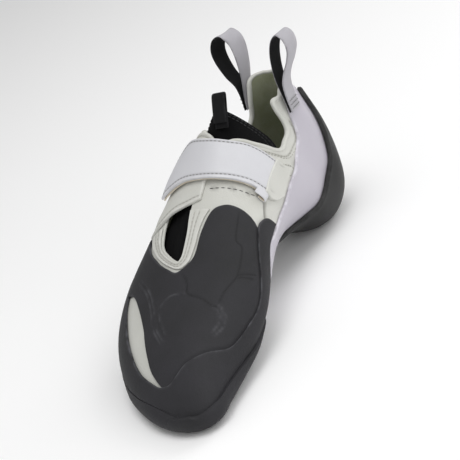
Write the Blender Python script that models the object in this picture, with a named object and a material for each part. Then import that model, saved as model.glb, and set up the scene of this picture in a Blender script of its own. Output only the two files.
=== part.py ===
"""A right-foot climbing shoe with one hook-and-loop strap, modelled in metres, Z up, toe towards -Y.

Every shell is cut from one form, the last. A place on it is a station along the foot, an angle round
the section there and a height off the surface, so each layer lies on the one below with a small gap.
"""
import bpy
import math
import numpy as np

# Sizes of the shoe
LENGTH = 0.230            # last, toe tip to the back of the heel
BALL_WIDTH = 0.091        # last, across the ball of the foot
COLLAR_HEIGHT = 0.104     # floor of the last's table to the back of the collar
WALL = 0.0018             # upper
GAP = 0.0003              # between two layers
RUBBER = 0.0012           # toe patch
RAND = 0.0016             # rubber that wraps the toe
HEEL_RAND = 0.0013        # rubber round the heel
SOLE = 0.0042             # outsole under the toes
HEEL_SOLE = 0.0026        # rubber on the heel, over the heel rand
PANEL = 0.0009            # binding round the slit and the quarter panels
STRAP = 0.0016
STRAP_LINING = 0.0010
TONGUE = 0.0026
INSOLE = 0.0020
WEBBING = 0.0011
WEBBING_WIDTH = 0.010
TOE_CONTACT = (0.022, 0.0009)      # (y, z) on the last where the floor presses the toes flat
HEEL_CONTACT = (0.205, 0.0056)     # the same under the heel
FLOOR_SLOPE = (HEEL_CONTACT[1] - TOE_CONTACT[1]) / (HEEL_CONTACT[0] - TOE_CONTACT[0])

# The last: one row for each station. Lengths along the foot are shares of LENGTH, heights of
# COLLAR_HEIGHT and widths of BALL_WIDTH.
LAST_COLUMNS = ("bottom_y", "bottom_z", "top_y", "top_z", "middle_x", "waist", "medial", "lateral",
                "bottom_power", "top_power")
LAST = (
    (-0.013, 0.077, -0.013, 0.077, 0.206, 0.50, 0.000, 0.000, 2.0, 2.0),
    (-0.004, 0.051, -0.002, 0.125, 0.199, 0.45, 0.120, 0.143, 2.4, 2.0),
    (0.026, 0.041, 0.030, 0.192, 0.174, 0.40, 0.205, 0.288, 2.8, 2.0),
    (0.078, 0.038, 0.087, 0.279, 0.121, 0.36, 0.252, 0.428, 3.0, 2.0),
    (0.152, 0.048, 0.165, 0.365, 0.044, 0.36, 0.334, 0.520, 3.0, 2.0),
    (0.235, 0.085, 0.248, 0.442, -0.022, 0.37, 0.422, 0.560, 3.0, 2.0),
    (0.322, 0.144, 0.335, 0.538, -0.066, 0.38, 0.462, 0.544, 2.8, 2.0),
    (0.417, 0.211, 0.426, 0.654, -0.077, 0.40, 0.420, 0.484, 2.6, 2.0),
    (0.522, 0.260, 0.513, 0.769, -0.077, 0.40, 0.370, 0.435, 2.4, 2.0),
    (0.630, 0.265, 0.578, 0.885, -0.055, 0.38, 0.319, 0.396, 2.3, 2.0),
    (0.726, 0.212, 0.622, 1.000, -0.033, 0.34, 0.286, 0.345, 2.3, 1.8),
    (0.813, 0.112, 0.652, 1.077, -0.022, 0.33, 0.270, 0.308, 2.5, 1.7),
    (0.898, 0.082, 0.674, 1.135, -0.022, 0.32, 0.253, 0.286, 2.6, 1.6),
    (0.961, 0.148, 0.687, 1.173, -0.022, 0.30, 0.250, 0.275, 2.4, 1.5),
    (0.986, 0.313, 0.696, 1.212, -0.022, 0.32, 0.240, 0.231, 2.3, 1.5),
    (0.990, 0.519, 0.700, 1.231, -0.022, 0.36, 0.222, 0.187, 2.3, 1.5),
    (0.973, 0.740, 0.704, 1.250, -0.022, 0.42, 0.196, 0.148, 2.3, 1.5),
    (0.957, 0.933, 0.709, 1.260, -0.022, 0.50, 0.165, 0.128, 2.4, 1.6),
    (0.952, 1.077, 0.713, 1.269, -0.022, 0.50, 0.154, 0.122, 2.4, 1.6),
)

# Angles are in degrees: 0 is the big-toe side, 90 the instep, 180 the little-toe side, -90 the sole.

# Edge of the upper's opening, which is the slit over the toes and then the collar.
OPENING_COLUMNS = ("station", "medial", "lateral")
OPENING = (
    (6.00, 101, 101), (6.06, 95.5, 108), (6.20, 94, 117), (6.45, 93.5, 128), (6.80, 94, 134),
    (7.50, 97, 136), (8.20, 92, 126), (9.00, 84, 113), (9.60, 77, 100), (9.95, 71, 97),
    (10.20, 66, 103), (10.55, 62, 118), (11.2, 56, 126), (12.2, 60, 127), (13.3, 62, 131),
    (14.0, 65, 142), (14.6, 61, 162), (15.2, 42, 188), (15.8, 16, 208), (16.4, -26, 228),
    (16.9, -50, 240), (17.2, -66, 250), (17.35, -78, 260),
)

# Stations and angles that the large shells share, so that their facets follow each other.
STATIONS = (0, 0.15, 0.35, 0.55, 0.72, 1.0, 1.4, 1.8, 2.3, 2.8, 3.3, 3.8, 4.4, 5.0, 5.6, 6.0, 6.1, 6.35, 6.8,
            7.4, 8.0, 8.6, 9.2, 9.6, 10.0, 10.5, 11.0, 11.6, 12.0, 12.4, 13.0, 13.5, 14.0, 14.5, 15.0, 15.5,
            16.0, 16.4, 16.9, 17.2, 17.35)
SIDE_ANGLES = (-90, -79, -67, -55, -44, -32, -18, -3, 14, 33, 53, 73)

# Hole in the bottom of the upper, which the sole, the heel rand and the insole close.
BASE_HOLE_COLUMNS = ("station", "half_angle")
BASE_HOLE = ((2.2, 22), (4.0, 34), (7.0, 36), (9.5, 32), (11.6, 24))

# Upper edge of the outsole on each side of the toes.
SOLE_COLUMNS = ("station", "medial", "lateral")
SOLE_EDGE = ((0.55, 90, 90), (0.60, 56, 121), (0.72, 30, 142), (1.0, 12, 158), (2.0, 7, 172), (3.0, 2, 178),
             (4.3, -6, 184), (5.3, -11, 188), (6.0, -16, 191), (6.8, -32, 200))

# Toe patch: its front edge against the toe rand, paired with its back edge against the slit's binding.
PATCH_COLUMNS = ("front_station", "front_angle", "back_station", "back_angle")
TOE_PATCH = (
    (7.42, 20, 7.44, 22), (6.42, 11, 7.56, 31), (5.70, 6, 7.60, 43), (5.04, 9, 7.54, 56),
    (4.06, 18, 7.30, 68), (3.47, 45, 6.75, 74), (2.98, 75, 6.05, 77), (2.54, 100, 5.68, 99),
    (2.30, 124, 5.83, 116), (2.30, 139, 6.04, 128), (2.80, 144, 6.24, 134), (3.49, 140, 6.40, 140),
    (4.29, 142, 6.60, 145), (5.14, 150, 6.80, 149), (5.70, 160, 7.00, 151), (6.30, 164, 7.10, 153),
    (7.00, 165, 7.14, 156),
)

# Toe rand: its lower edge above the sole, paired with its upper edge against the patch and the window.
RAND_COLUMNS = ("low_station", "low_angle", "high_station", "high_angle")
TOE_RAND = (
    (8.17, -2, 8.17, -1.5), (7.80, 1, 7.98, 11), (7.40, 3, 7.72, 17), (6.95, -2, 7.46, 18.5),
    (6.60, -10, 6.95, 14), (6.10, -11, 6.40, 9), (5.30, -8, 5.66, 4.2), (4.30, -3, 5.00, 7),
    (3.00, 5, 4.00, 16), (2.00, 10, 3.41, 43), (1.00, 16, 2.93, 73), (0.76, 34, 2.66, 88),
    (0.64, 62, 2.48, 100), (0.61, 90, 2.32, 112), (0.64, 116, 2.24, 124), (0.76, 138, 2.22, 136),
    (1.00, 154, 2.28, 146), (2.00, 168.5, 2.66, 155), (3.00, 174.5, 3.06, 158), (3.70, 178, 3.70, 159),
    (4.47, 181, 4.47, 160), (5.20, 184, 5.19, 162), (5.72, 186.5, 5.74, 162.5), (6.30, 188.5, 6.32, 166.2),
    (7.00, 189.5, 7.02, 167.2), (7.60, 188, 7.30, 168),
)

# Heel rand: its edge on each side. It closes the arch and the heel from below.
HEEL_COLUMNS = ("station", "medial", "lateral")
HEEL_EDGE = (
    (6.86, -14, 194), (7.05, -6, 193), (7.40, 0.5, 192), (7.80, -2.5, 190.5), (8.20, -5, 188),
    (8.60, -4.5, 185), (9.20, -1, 180), (10.1, 17, 160), (11.3, 40, 142), (12.0, 49, 134), (12.6, 53, 131),
    (13.4, 54.5, 132),
    (14.1, 53, 152), (14.8, 44, 176), (15.4, 26, 200), (16.0, 3, 220), (16.4, -22, 236),
)

# Rubber on the heel, from a point in the arch up to the tendon.
HEEL_SOLE_COLUMNS = ("station", "medial", "lateral")
HEEL_SOLE_EDGE = (
    (7.7, -62, 242), (8.3, -56, 236), (9.0, -53, 233), (9.8, -45, 225), (10.4, -38, 218), (11.2, -26, 206),
    (12.0, -15, 195), (12.7, -7, 187), (13.4, -9, 189), (14.2, -20, 200), (15.0, -33, 213), (15.8, -46, 226),
    (16.3, -62, 242),
)

# Binding round the slit: the slit's own edge paired with the binding's outer edge.
BINDING_COLUMNS = ("slit_station", "slit_angle", "outer_station", "outer_angle")
SLIT_BINDING = (
    (7.36, 97, 7.36, 71.5), (7.05, 96, 7.12, 75.5), (6.80, 94.6, 6.78, 78), (6.45, 94.2, 6.40, 78.5),
    (6.16, 95, 6.02, 82), (6.03, 98, 5.82, 91), (5.98, 101, 5.79, 99), (6.02, 107, 5.86, 109),
    (6.17, 117, 6.02, 121),
    (6.42, 128, 6.26, 132), (6.78, 134.5, 6.64, 143), (7.05, 136, 6.98, 149.5), (7.16, 137, 7.12, 151),
)

# Flap of the outer quarter, which closes over the slit: front edge paired with back edge.
FLAP_COLUMNS = ("front_station", "front_angle", "back_station", "back_angle")
QUARTER_FLAP = (
    (7.62, 86, 9.46, 85), (7.56, 93, 9.76, 91), (7.50, 102, 9.96, 98), (7.46, 113, 9.90, 105),
    (7.40, 126, 9.62, 114), (7.26, 143, 9.40, 128), (7.24, 156, 9.20, 145), (7.40, 165, 9.0, 160),
    (7.70, 176, 8.80, 174),
)

# Strap: lower edge paired with upper edge, from its free end on the outside to its anchor.
STRAP_COLUMNS = ("low_station", "low_angle", "high_station", "high_angle", "height")
STRAP_PATH = (
    (7.98, 138, 8.86, 127, 0.0036), (8.03, 134, 9.20, 119, 0.0035), (8.10, 122, 9.44, 110, 0.0032),
    (8.15, 108, 9.60, 101, 0.0030), (8.14, 90, 9.52, 88, 0.0030), (8.17, 73, 9.54, 76, 0.0028),
    (8.26, 57, 9.72, 67, 0.0022), (8.38, 42, 9.88, 58, 0.0014), (8.44, 31, 10.0, 50, 0.0008),
)

# Anchor panel on the inner quarter, which holds the strap's fixed end.
ANCHOR_COLUMNS = ("low_station", "low_angle", "high_station", "high_angle")
ANCHOR = (
    (8.44, 26, 10.1, 45), (8.56, 18, 10.3, 40), (8.80, 9, 10.5, 36), (9.20, 3, 10.7, 33.5),
)

# Tongue and insole, inside the upper.
TONGUE_COLUMNS = ("low_station", "low_angle", "high_station", "high_angle")
TONGUE_EDGE = (
    (6.00, 80, 11.25, 57), (5.90, 88, 11.45, 67), (5.85, 97, 11.2, 79), (5.85, 108, 10.85, 91),
    (5.90, 120, 10.6, 102), (6.00, 132, 10.4, 114), (6.20, 144, 10.1, 124), (6.50, 150, 9.80, 130),
)
INSOLE_COLUMNS = ("station", "half_angle")
INSOLE_EDGE = ((1.6, 26), (2.2, 46), (4.0, 54), (7.0, 52), (9.5, 44), (11.6, 34), (12.3, 22))

# Pull loops at the back of the collar: (x, z) of the webbing's middle from base to base, in millimetres,
# and the y that it is centred on.
LOOP_COLUMNS = ("x", "z")
MEDIAL_LOOP_Y = 0.1935
MEDIAL_LOOP = ((21.4, 86), (20.6, 93), (19.6, 100), (19.2, 107), (20.4, 116), (23.0, 125), (27.0, 132),
               (31.2, 134.5), (34.6, 131), (34.6, 124.5), (31.0, 117.5), (26.2, 111), (22.6, 104), (22.2, 95),
               (23.0, 86))
LATERAL_LOOP_Y = 0.2090
LATERAL_LOOP = ((-21.0, 86), (-19.6, 92), (-17.4, 98), (-14.6, 105), (-12.2, 114), (-10.8, 124), (-11.6, 131),
                (-16.0, 135.3), (-21.5, 133.5), (-25.6, 127.5), (-26.2, 120), (-24.0, 110), (-20.6, 102.5),
                (-21.2, 94), (-22.6, 86))
TONGUE_TAB_ANGLE = 84
TONGUE_TAB_RISE = (0.0, 0.55, 0.83)
TONGUE_TAB_LENGTH = 0.020

COLOURS = {
    "synthetic": (0.74, 0.74, 0.70, 1.0), "rubber": (0.050, 0.050, 0.056, 1.0),
    "pale_rubber": (0.56, 0.54, 0.61, 1.0), "cloth": (0.014, 0.014, 0.016, 1.0),
    "strap": (0.80, 0.80, 0.82, 1.0), "lining": (0.62, 0.58, 0.50, 1.0),
    "webbing": (0.64, 0.63, 0.66, 1.0), "footbed": (0.10, 0.11, 0.07, 1.0),
}


def column(table, columns, name):
    """Give one named column of a table as an array."""
    return np.array([row[columns.index(name)] for row in table], float)


def along(table, columns, name, at, key="station"):
    """Read a named column at the given values of the key column."""
    return np.interp(at, column(table, columns, key), column(table, columns, name))


def between_knots(knots, low, t):
    """Pass a smooth curve through knots, of which the first and last only set the slope."""
    a, b, c, d = (knots[low + k] for k in range(4))
    return 0.5 * (2 * b + (c - a) * t + (2 * a - 5 * b + 4 * c - d) * t ** 2
                  + (3 * b - a - 3 * c + d) * t ** 3)


def last_row(station):
    """Read every column of the last at the given stations, with lengths in metres."""
    scale = np.array([LENGTH, COLLAR_HEIGHT, LENGTH, COLLAR_HEIGHT, BALL_WIDTH, 1,
                      BALL_WIDTH, BALL_WIDTH, 1, 1])
    rows = np.array(LAST, float) * scale
    before = rows[1].copy()          # the same section carried over the toe tip
    for name in ("medial", "lateral"):
        before[LAST_COLUMNS.index(name)] *= -1
    for name in ("bottom_z", "top_z"):
        column_index = LAST_COLUMNS.index(name)
        before[column_index] = 2 * rows[0, column_index] - rows[1, column_index]
    knots = np.vstack([before, rows, 2 * rows[-1] - rows[-2]])
    station = np.clip(np.asarray(station, float), 0, len(rows) - 1 - 1e-9)
    low = station.astype(int)
    curve = between_knots(knots, low, (station - low)[..., None])
    return {name: curve[..., k] for k, name in enumerate(LAST_COLUMNS)}


def on_last(station, angle):
    """Give the points of the last at stations and angles in radians."""
    row = last_row(station)
    rise_y, rise_z = row["top_y"] - row["bottom_y"], row["top_z"] - row["bottom_z"]
    height = np.hypot(rise_y, rise_z)
    flat = height < 1e-9
    up_y = np.where(flat, 0, rise_y / np.maximum(height, 1e-9))
    up_z = np.where(flat, 1, rise_z / np.maximum(height, 1e-9))
    cosine, sine = np.cos(angle), np.sin(angle)
    width = np.maximum(np.where(cosine >= 0, row["medial"], row["lateral"]), 1e-7)
    reach = np.maximum(height * np.where(sine >= 0, 1 - row["waist"], row["waist"]), 1e-7)
    power = np.where(sine >= 0, row["top_power"], row["bottom_power"])
    radius = (np.abs(cosine / width) ** power + np.abs(sine / reach) ** power) ** (-1 / power)
    return np.stack([row["middle_x"] + radius * cosine,
                     row["bottom_y"] + rise_y * row["waist"] + up_y * radius * sine,
                     row["bottom_z"] + rise_z * row["waist"] + up_z * radius * sine], -1)


def place(station, degrees, height):
    """Give the points at a height off the last, with the sole's flat spots pressed to the floor."""
    station, degrees, height = np.broadcast_arrays(
        np.asarray(station, float), np.asarray(degrees, float), np.asarray(height, float))
    angle = np.radians(degrees)
    step = 1e-3
    inner = np.maximum(station, 2e-3)
    forward = on_last(inner + step, angle) - on_last(inner - step, angle)
    round_ = on_last(inner, angle + step) - on_last(inner, angle - step)
    normal = np.cross(forward, round_)
    normal /= np.maximum(np.linalg.norm(normal, axis=-1, keepdims=True), 1e-15)
    points = on_last(station, angle) + normal * height[..., None]
    points[..., 2] = np.maximum(points[..., 2], floor_height(points[..., 1]))
    return points


def floor_height(y):
    """Give the height of the floor, which slopes a little in the last's own frame."""
    return TOE_CONTACT[1] + FLOOR_SLOPE * (y - TOE_CONTACT[0])


def material(name, colour, roughness):
    """Give an object's own plain material."""
    made = bpy.data.materials.new(name)
    made.use_nodes = True
    shader = made.node_tree.nodes["Principled BSDF"]
    shader.inputs["Base Color"].default_value = colour
    shader.inputs["Roughness"].default_value = roughness
    return made


def add_mesh(name, points, faces, colour, roughness=0.6):
    """Add a closed solid to the scene, turned so that its faces look outwards, and lowered to the floor."""
    points = np.array(points, float)
    corners = [(f[0], f[k], f[k + 1]) for f in faces for k in range(1, len(f) - 1)]
    a, b, c = (points[[t[k] for t in corners]] for k in range(3))
    if np.einsum("ij,ij->i", a, np.cross(b, c)).sum() < 0:
        faces = [tuple(reversed(f)) for f in faces]
    lie = math.atan(FLOOR_SLOPE)
    height = points[:, 2] - floor_height(points[:, 1])
    points[:, 1] = points[:, 1] / math.cos(lie) + height * math.sin(lie)
    points[:, 2] = height * math.cos(lie)
    mesh = bpy.data.meshes.new(name)
    mesh.from_pydata([tuple(p) for p in points], [], faces)
    mesh.update()
    made = bpy.data.objects.new(name, mesh)
    mesh.materials.append(material(name, COLOURS[colour], roughness))
    bpy.context.scene.collection.objects.link(made)
    return made


def shell(name, station, degrees, low, high, colour, keep=None, roughness=0.6):
    """Build a closed solid over a grid of places, from a low to a high offset from the last.

    Rows that end where they start are joined into a ring, and the row at the toe tip into one point.
    """
    station, degrees, low, high = np.broadcast_arrays(
        *(np.asarray(v, float) for v in (station, degrees, low, high)))
    rows, columns = station.shape
    name_of = np.arange(rows * columns).reshape(rows, columns)
    for i in range(rows):
        if station[i].max() < 1e-6:
            name_of[i] = name_of[i, 0]
        elif abs(abs(degrees[i, 0] - degrees[i, -1]) - 360) < 1e-6:
            name_of[i, -1] = name_of[i, 0]
        for j in range(1, columns):
            if abs(station[i, j] - station[i, j - 1]) + abs(degrees[i, j] - degrees[i, j - 1]) < 1e-6:
                name_of[i, j] = name_of[i, j - 1]
    for j in range(columns):
        for i in range(1, rows):
            if abs(station[i, j] - station[i - 1, j]) + abs(degrees[i, j] - degrees[i - 1, j]) < 1e-6:
                name_of[i, j] = name_of[i - 1, j]
    outer = place(station, degrees, high).reshape(-1, 3)
    inner = place(station, degrees, low).reshape(-1, 3)
    sheet = []
    for i in range(rows - 1):
        for j in range(columns - 1):
            if keep is not None and not keep[i, j]:
                continue
            loop = [name_of[i, j], name_of[i + 1, j], name_of[i + 1, j + 1], name_of[i, j + 1]]
            loop = [v for k, v in enumerate(loop) if v != loop[k - 1]]
            if len(set(loop)) >= 3:
                loop = [int(v) for v in loop]
                sheet += [(loop[0], loop[k], loop[k + 1]) for k in range(1, len(loop) - 1)]
    directed = {(f[k - 1], f[k]) for f in sheet for k in range(len(f))}
    used = sorted({v for f in sheet for v in f})
    index = {v: k for k, v in enumerate(used)}
    count = len(used)
    faces = [tuple(index[v] for v in f) for f in sheet]
    faces += [tuple(index[v] + count for v in reversed(f)) for f in sheet]
    faces += [(index[b], index[a], index[a] + count, index[b] + count)
              for a, b in sorted(directed) if (b, a) not in directed]
    return add_mesh(name, np.vstack([outer[used], inner[used]]), faces, colour, roughness)


def between(table, columns, splits, across):
    """Give the grid of places between two edges that a table pairs, split between its rows."""
    rows = np.array(table, float)
    knots = np.arange(len(rows))
    fine = np.unique(np.concatenate([np.linspace(k, k + 1, splits + 1) for k in knots[:-1]]))
    low = np.minimum(fine.astype(int), len(rows) - 2)
    bounds = np.vstack([2 * rows[0] - rows[1], rows, 2 * rows[-1] - rows[-2]])
    edge = between_knots(bounds, low, (fine - low)[:, None]).T
    share = np.linspace(0, 1, across + 1)[None, :]
    station = edge[0][:, None] + (edge[2] - edge[0])[:, None] * share
    degrees = edge[1][:, None] + (edge[3] - edge[1])[:, None] * share
    extra = edge[columns.index("height")][:, None] + 0 * share if "height" in columns else None
    return station, degrees, extra


def stations_of(first, last, extra=()):
    """Give the shared stations between two ends, with any of a piece's own."""
    inside = [s for s in STATIONS if first + 0.05 < s < last - 0.05]
    return np.unique(np.round(np.concatenate([[first], inside, extra, [last]]), 4))


def belt(stations, medial, lateral, lip=0.0):
    """Give the grid of places from the outer edge, under the foot, to the inner edge of a piece.

    Lines stay on the shared angles and stop at the edge. A lip adds a line at that angle inside each edge.
    """
    start, stop = lateral[:, None], medial[:, None] + 360
    side = np.array(SIDE_ANGLES)
    lines = np.unique(np.concatenate([side % 360, (180 - side) % 360]))
    lines = np.concatenate([lines, lines + 360])
    lines = lines[(lines > start.min()) & (lines < stop.max())][None, :].astype(float)
    if lip:
        room = np.minimum(lip, (stop - start) / 4)
        inner = np.clip(lines, start + room, stop - room)
        degrees = np.concatenate([start, start + room, inner, stop - room, stop], 1)
    else:
        degrees = np.concatenate([start, np.clip(lines, start, stop), stop], 1)
    return np.broadcast_to(stations[:, None], degrees.shape), degrees


def upper():
    """Build the upper: one wall with its slit, its collar and the hole that the sole closes."""
    stations = stations_of(0, 17.35, (7.05, 10.2, 10.35))
    medial = np.where(stations <= 6.0, 101, along(OPENING, OPENING_COLUMNS, "medial", stations))
    lateral = np.where(stations <= 6.0, 101, along(OPENING, OPENING_COLUMNS, "lateral", stations))
    station, degrees = belt(stations, medial, lateral, 2.5)
    middle_station = (station[:-1, :-1] + station[1:, 1:]) / 2
    middle_angle = (degrees[:-1, :-1] + degrees[1:, 1:]) / 2
    half = along(BASE_HOLE, BASE_HOLE_COLUMNS, "half_angle", middle_station)
    inside = (middle_station > BASE_HOLE[0][0]) & (middle_station < BASE_HOLE[-1][0])
    keep = ~(inside & (np.abs(middle_angle - 270) < half))
    rim = np.zeros(station.shape, bool)
    rim[:, 0] = rim[:, -1] = True
    rim[-1] = True
    rim &= station > 6.0
    low = np.where(rim, -WALL * 0.75, -WALL)
    high = np.where(rim, -WALL * 0.25, 0.0)
    return shell("upper", station, degrees, low, high, "synthetic", keep)


def ribbon(name, path, width, thickness, colour, taper=None):
    """Build webbing that follows a path, given its width vector at each point."""
    path = np.asarray(path, float)
    width = np.broadcast_to(np.asarray(width, float), path.shape)
    tangent = np.gradient(path, axis=0)
    tangent /= np.linalg.norm(tangent, axis=1, keepdims=True)
    side = width - tangent * np.einsum("ij,ij->i", width, tangent)[:, None]
    side *= (np.linalg.norm(width, axis=1) / np.linalg.norm(side, axis=1))[:, None]
    normal = np.cross(tangent, side)
    normal *= thickness / 2 / np.linalg.norm(normal, axis=1, keepdims=True)
    corners = np.stack([path + side / 2 + normal, path - side / 2 + normal,
                        path - side / 2 - normal, path + side / 2 - normal], 1)
    count = len(path)
    faces = [(0, 1, 2, 3), tuple(4 * (count - 1) + k for k in (3, 2, 1, 0))]
    for i in range(count - 1):
        for k in range(4):
            a, b = 4 * i + k, 4 * i + (k + 1) % 4
            faces.append((a, a + 4, b + 4, b))
    return add_mesh(name, corners.reshape(-1, 3), faces, colour)


def smooth_path(points, splits):
    """Pass a smooth open curve through points."""
    points = np.asarray(points, float)
    knots = np.vstack([2 * points[0] - points[1], points, 2 * points[-1] - points[-2]])
    at = np.linspace(0, len(points) - 1, (len(points) - 1) * splits + 1)
    low = np.minimum(at.astype(int), len(points) - 2)
    return between_knots(knots, low, (at - low)[:, None])


def pull_loop(name, table, middle_y, lean):
    """Build one pull loop of webbing on the back of the collar."""
    path = [(x / 1000, middle_y + lean * (z - table[0][1]) / 1000, z / 1000) for x, z in table]
    return ribbon(name, smooth_path(path, 2), (0, WEBBING_WIDTH, 0), WEBBING, "webbing")


def centre():
    """Move every piece so that the origin is the middle of the whole shoe's footprint on the floor."""
    made = [o for o in bpy.data.objects if o.type == "MESH"]
    points = np.array([v.co[:] for o in made for v in o.data.vertices])
    middle = (points.min(0) + points.max(0)) / 2
    for o in made:
        for v in o.data.vertices:
            v.co = (v.co[0] - middle[0], v.co[1] - middle[1], v.co[2])


def build():
    """Build every piece of the shoe."""
    for old in list(bpy.data.objects):
        bpy.data.objects.remove(old)
    upper()

    stations = stations_of(0, 6.80, (0.6,))
    medial = np.where(stations <= 0.55, 90, along(SOLE_EDGE, SOLE_COLUMNS, "medial", stations))
    lateral = np.where(stations <= 0.55, 90, along(SOLE_EDGE, SOLE_COLUMNS, "lateral", stations))
    station, degrees = belt(stations, medial, lateral, 4.0)
    edge = np.zeros(station.shape, bool)
    edge[:, 0] = edge[:, -1] = True
    edge[-1] = True
    edge &= station >= 0.55
    thin = np.interp(station, (5.8, 6.8), (SOLE, SOLE * 0.5))
    shell("outsole", station, degrees, 2 * GAP, np.where(edge, thin * 0.75, thin), "rubber")

    station, degrees, _ = between(TOE_RAND, RAND_COLUMNS, 2, 3)
    shell("toe_rand", station, degrees, 2 * GAP, RAND, "rubber")
    station, degrees, _ = between(TOE_PATCH, PATCH_COLUMNS, 2, 5)
    shell("toe_patch", station, degrees, 1.8 * GAP, RUBBER + GAP, "rubber")
    station, degrees, _ = between(SLIT_BINDING, BINDING_COLUMNS, 2, 2)
    shell("slit_binding", station, degrees, GAP, PANEL + GAP, "synthetic")
    station, degrees, _ = between(QUARTER_FLAP, FLAP_COLUMNS, 2, 5)
    shell("quarter_flap", station, degrees, GAP, 0.0020, "synthetic")
    station, degrees, height = between(STRAP_PATH, STRAP_COLUMNS, 2, 4)
    lifted = height + STRAP_LINING + GAP
    shell("strap", station, degrees, lifted, lifted + STRAP, "strap")
    shell("strap_lining", station, degrees, height, height + STRAP_LINING, "lining")
    station, degrees, _ = between(ANCHOR, ANCHOR_COLUMNS, 2, 6)
    shell("strap_anchor", station, degrees, GAP, 0.0032, "synthetic")

    stations = stations_of(6.86, 16.4, (7.05,))
    station, degrees = belt(stations, along(HEEL_EDGE, HEEL_COLUMNS, "medial", stations),
                            along(HEEL_EDGE, HEEL_COLUMNS, "lateral", stations))
    shell("heel_rand", station, degrees, GAP, HEEL_RAND + GAP, "pale_rubber")
    stations = stations_of(7.7, 16.25)
    station, degrees = belt(stations, along(HEEL_SOLE_EDGE, HEEL_SOLE_COLUMNS, "medial", stations),
                            along(HEEL_SOLE_EDGE, HEEL_SOLE_COLUMNS, "lateral", stations), 6.0)
    low = HEEL_RAND + 2.5 * GAP
    edge = np.zeros(station.shape, bool)
    edge[:, 0] = edge[:, -1] = True
    edge[0] = edge[-1] = True
    shell("heel_sole", station, degrees, low, np.where(edge, low + 0.0014, low + HEEL_SOLE), "rubber")

    station, degrees, _ = between(TONGUE_EDGE, TONGUE_COLUMNS, 2, 7)
    drop = -WALL - 3 * GAP - 0.0014 * np.clip((degrees - 108) / 12, 0, 1)
    shell("tongue", station, degrees, drop - TONGUE, drop, "cloth", roughness=0.9)

    stations = stations_of(1.6, 12.3)
    half = along(INSOLE_EDGE, INSOLE_COLUMNS, "half_angle", stations)
    station, degrees = belt(stations, half - 90, 270 - half)
    top = -WALL - 2 * GAP
    shell("insole", station, degrees, top - INSOLE, top, "footbed")

    pull_loop("pull_loop_medial", MEDIAL_LOOP, MEDIAL_LOOP_Y, 0.0)
    pull_loop("pull_loop_lateral", LATERAL_LOOP, LATERAL_LOOP_Y, 0.0)

    base = place(10.06, TONGUE_TAB_ANGLE, -0.0004)
    rise = np.array(TONGUE_TAB_RISE)
    side = np.array([1.0, 0.0, 0.0])
    out = np.cross(side, rise)
    out *= -np.sign(out[1])
    lengths = (0, 0.3, 0.7, 0.92, 1.0, 0.92, 0.7, 0.35, 0.15)
    offsets = (0, 0.0003, 0.0005, 0.0007, 0.0014, 0.0024, 0.0024, 0.0020, 0.0017)
    path = [base + rise * TONGUE_TAB_LENGTH * a + out * b for a, b in zip(lengths, offsets)]
    ribbon("tongue_tab", smooth_path(path, 2), side * 0.009, WEBBING, "cloth")
    centre()


build()
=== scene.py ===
"""A right-foot climbing shoe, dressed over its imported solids: rubber, synthetic leather, strap and webbing.

Every layer is laid on the last, the closed form inside the shoe. A place on it is a station along the
foot, an angle round the section (0 big-toe side, 90 instep, 180 little-toe side, -90 sole) and a height.
"""
from __future__ import annotations

import logging
import math
from dataclasses import dataclass, field
from enum import Enum
from typing import Sequence, Union

import bmesh
import bpy
import numpy as np
from mathutils import Matrix, Vector

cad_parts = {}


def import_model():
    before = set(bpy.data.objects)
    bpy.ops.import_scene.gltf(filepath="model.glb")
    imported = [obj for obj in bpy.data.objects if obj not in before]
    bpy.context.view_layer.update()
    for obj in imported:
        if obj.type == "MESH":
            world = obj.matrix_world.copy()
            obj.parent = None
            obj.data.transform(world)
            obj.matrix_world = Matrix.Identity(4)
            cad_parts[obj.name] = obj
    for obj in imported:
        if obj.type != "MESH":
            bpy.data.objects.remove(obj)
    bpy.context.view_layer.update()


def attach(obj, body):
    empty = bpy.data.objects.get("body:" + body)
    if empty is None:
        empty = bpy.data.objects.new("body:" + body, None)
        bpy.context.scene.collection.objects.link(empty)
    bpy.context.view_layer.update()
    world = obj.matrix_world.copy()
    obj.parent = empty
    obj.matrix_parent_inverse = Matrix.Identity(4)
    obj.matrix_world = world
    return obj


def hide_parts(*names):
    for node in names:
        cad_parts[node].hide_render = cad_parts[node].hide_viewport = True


LOG = logging.getLogger("climbing_shoe")
Table = Sequence[tuple[float, ...]]
# What a node's input takes: an output to link, or a value.
Feed = Union[bpy.types.NodeSocket, float, tuple[float, ...]]


def between_knots(knots: np.ndarray, low: np.ndarray, t: np.ndarray) -> np.ndarray:
    """Pass a smooth curve through knots, of which the first and last only set the slope.

    Args:
        knots: the knots' rows.
        low: index of the knot before each wanted point, less one.
        t: share of the way to the next knot.

    Returns:
        One row for each wanted point.
    """
    a, b, c, d = (knots[low + k] for k in range(4))
    return 0.5 * (2 * b + (c - a) * t + (2 * a - 5 * b + 4 * c - d) * t ** 2
                  + (3 * b - a - 3 * c + d) * t ** 3)


def smooth(rows: Table | np.ndarray, at: np.ndarray) -> np.ndarray:
    """Read an open smooth curve through rows.

    Args:
        rows: the rows that the curve passes through.
        at: places on it, counted in rows.

    Returns:
        One row for each place.
    """
    rows = np.asarray(rows, float)
    knots = np.vstack([2 * rows[0] - rows[1], rows, 2 * rows[-1] - rows[-2]])
    low = np.clip(at.astype(int), 0, len(rows) - 2)
    return between_knots(knots, low, (at - low)[:, None])


def through(rows: Table | np.ndarray, count: int) -> np.ndarray:
    """Read the whole of an open smooth curve at even steps."""
    return smooth(rows, np.linspace(0, len(rows) - 1, count))


def unit(vectors: np.ndarray) -> np.ndarray:
    """Give vectors in rows a length of 1."""
    return vectors / np.maximum(np.linalg.norm(vectors, axis=-1, keepdims=True), 1e-12)


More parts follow.
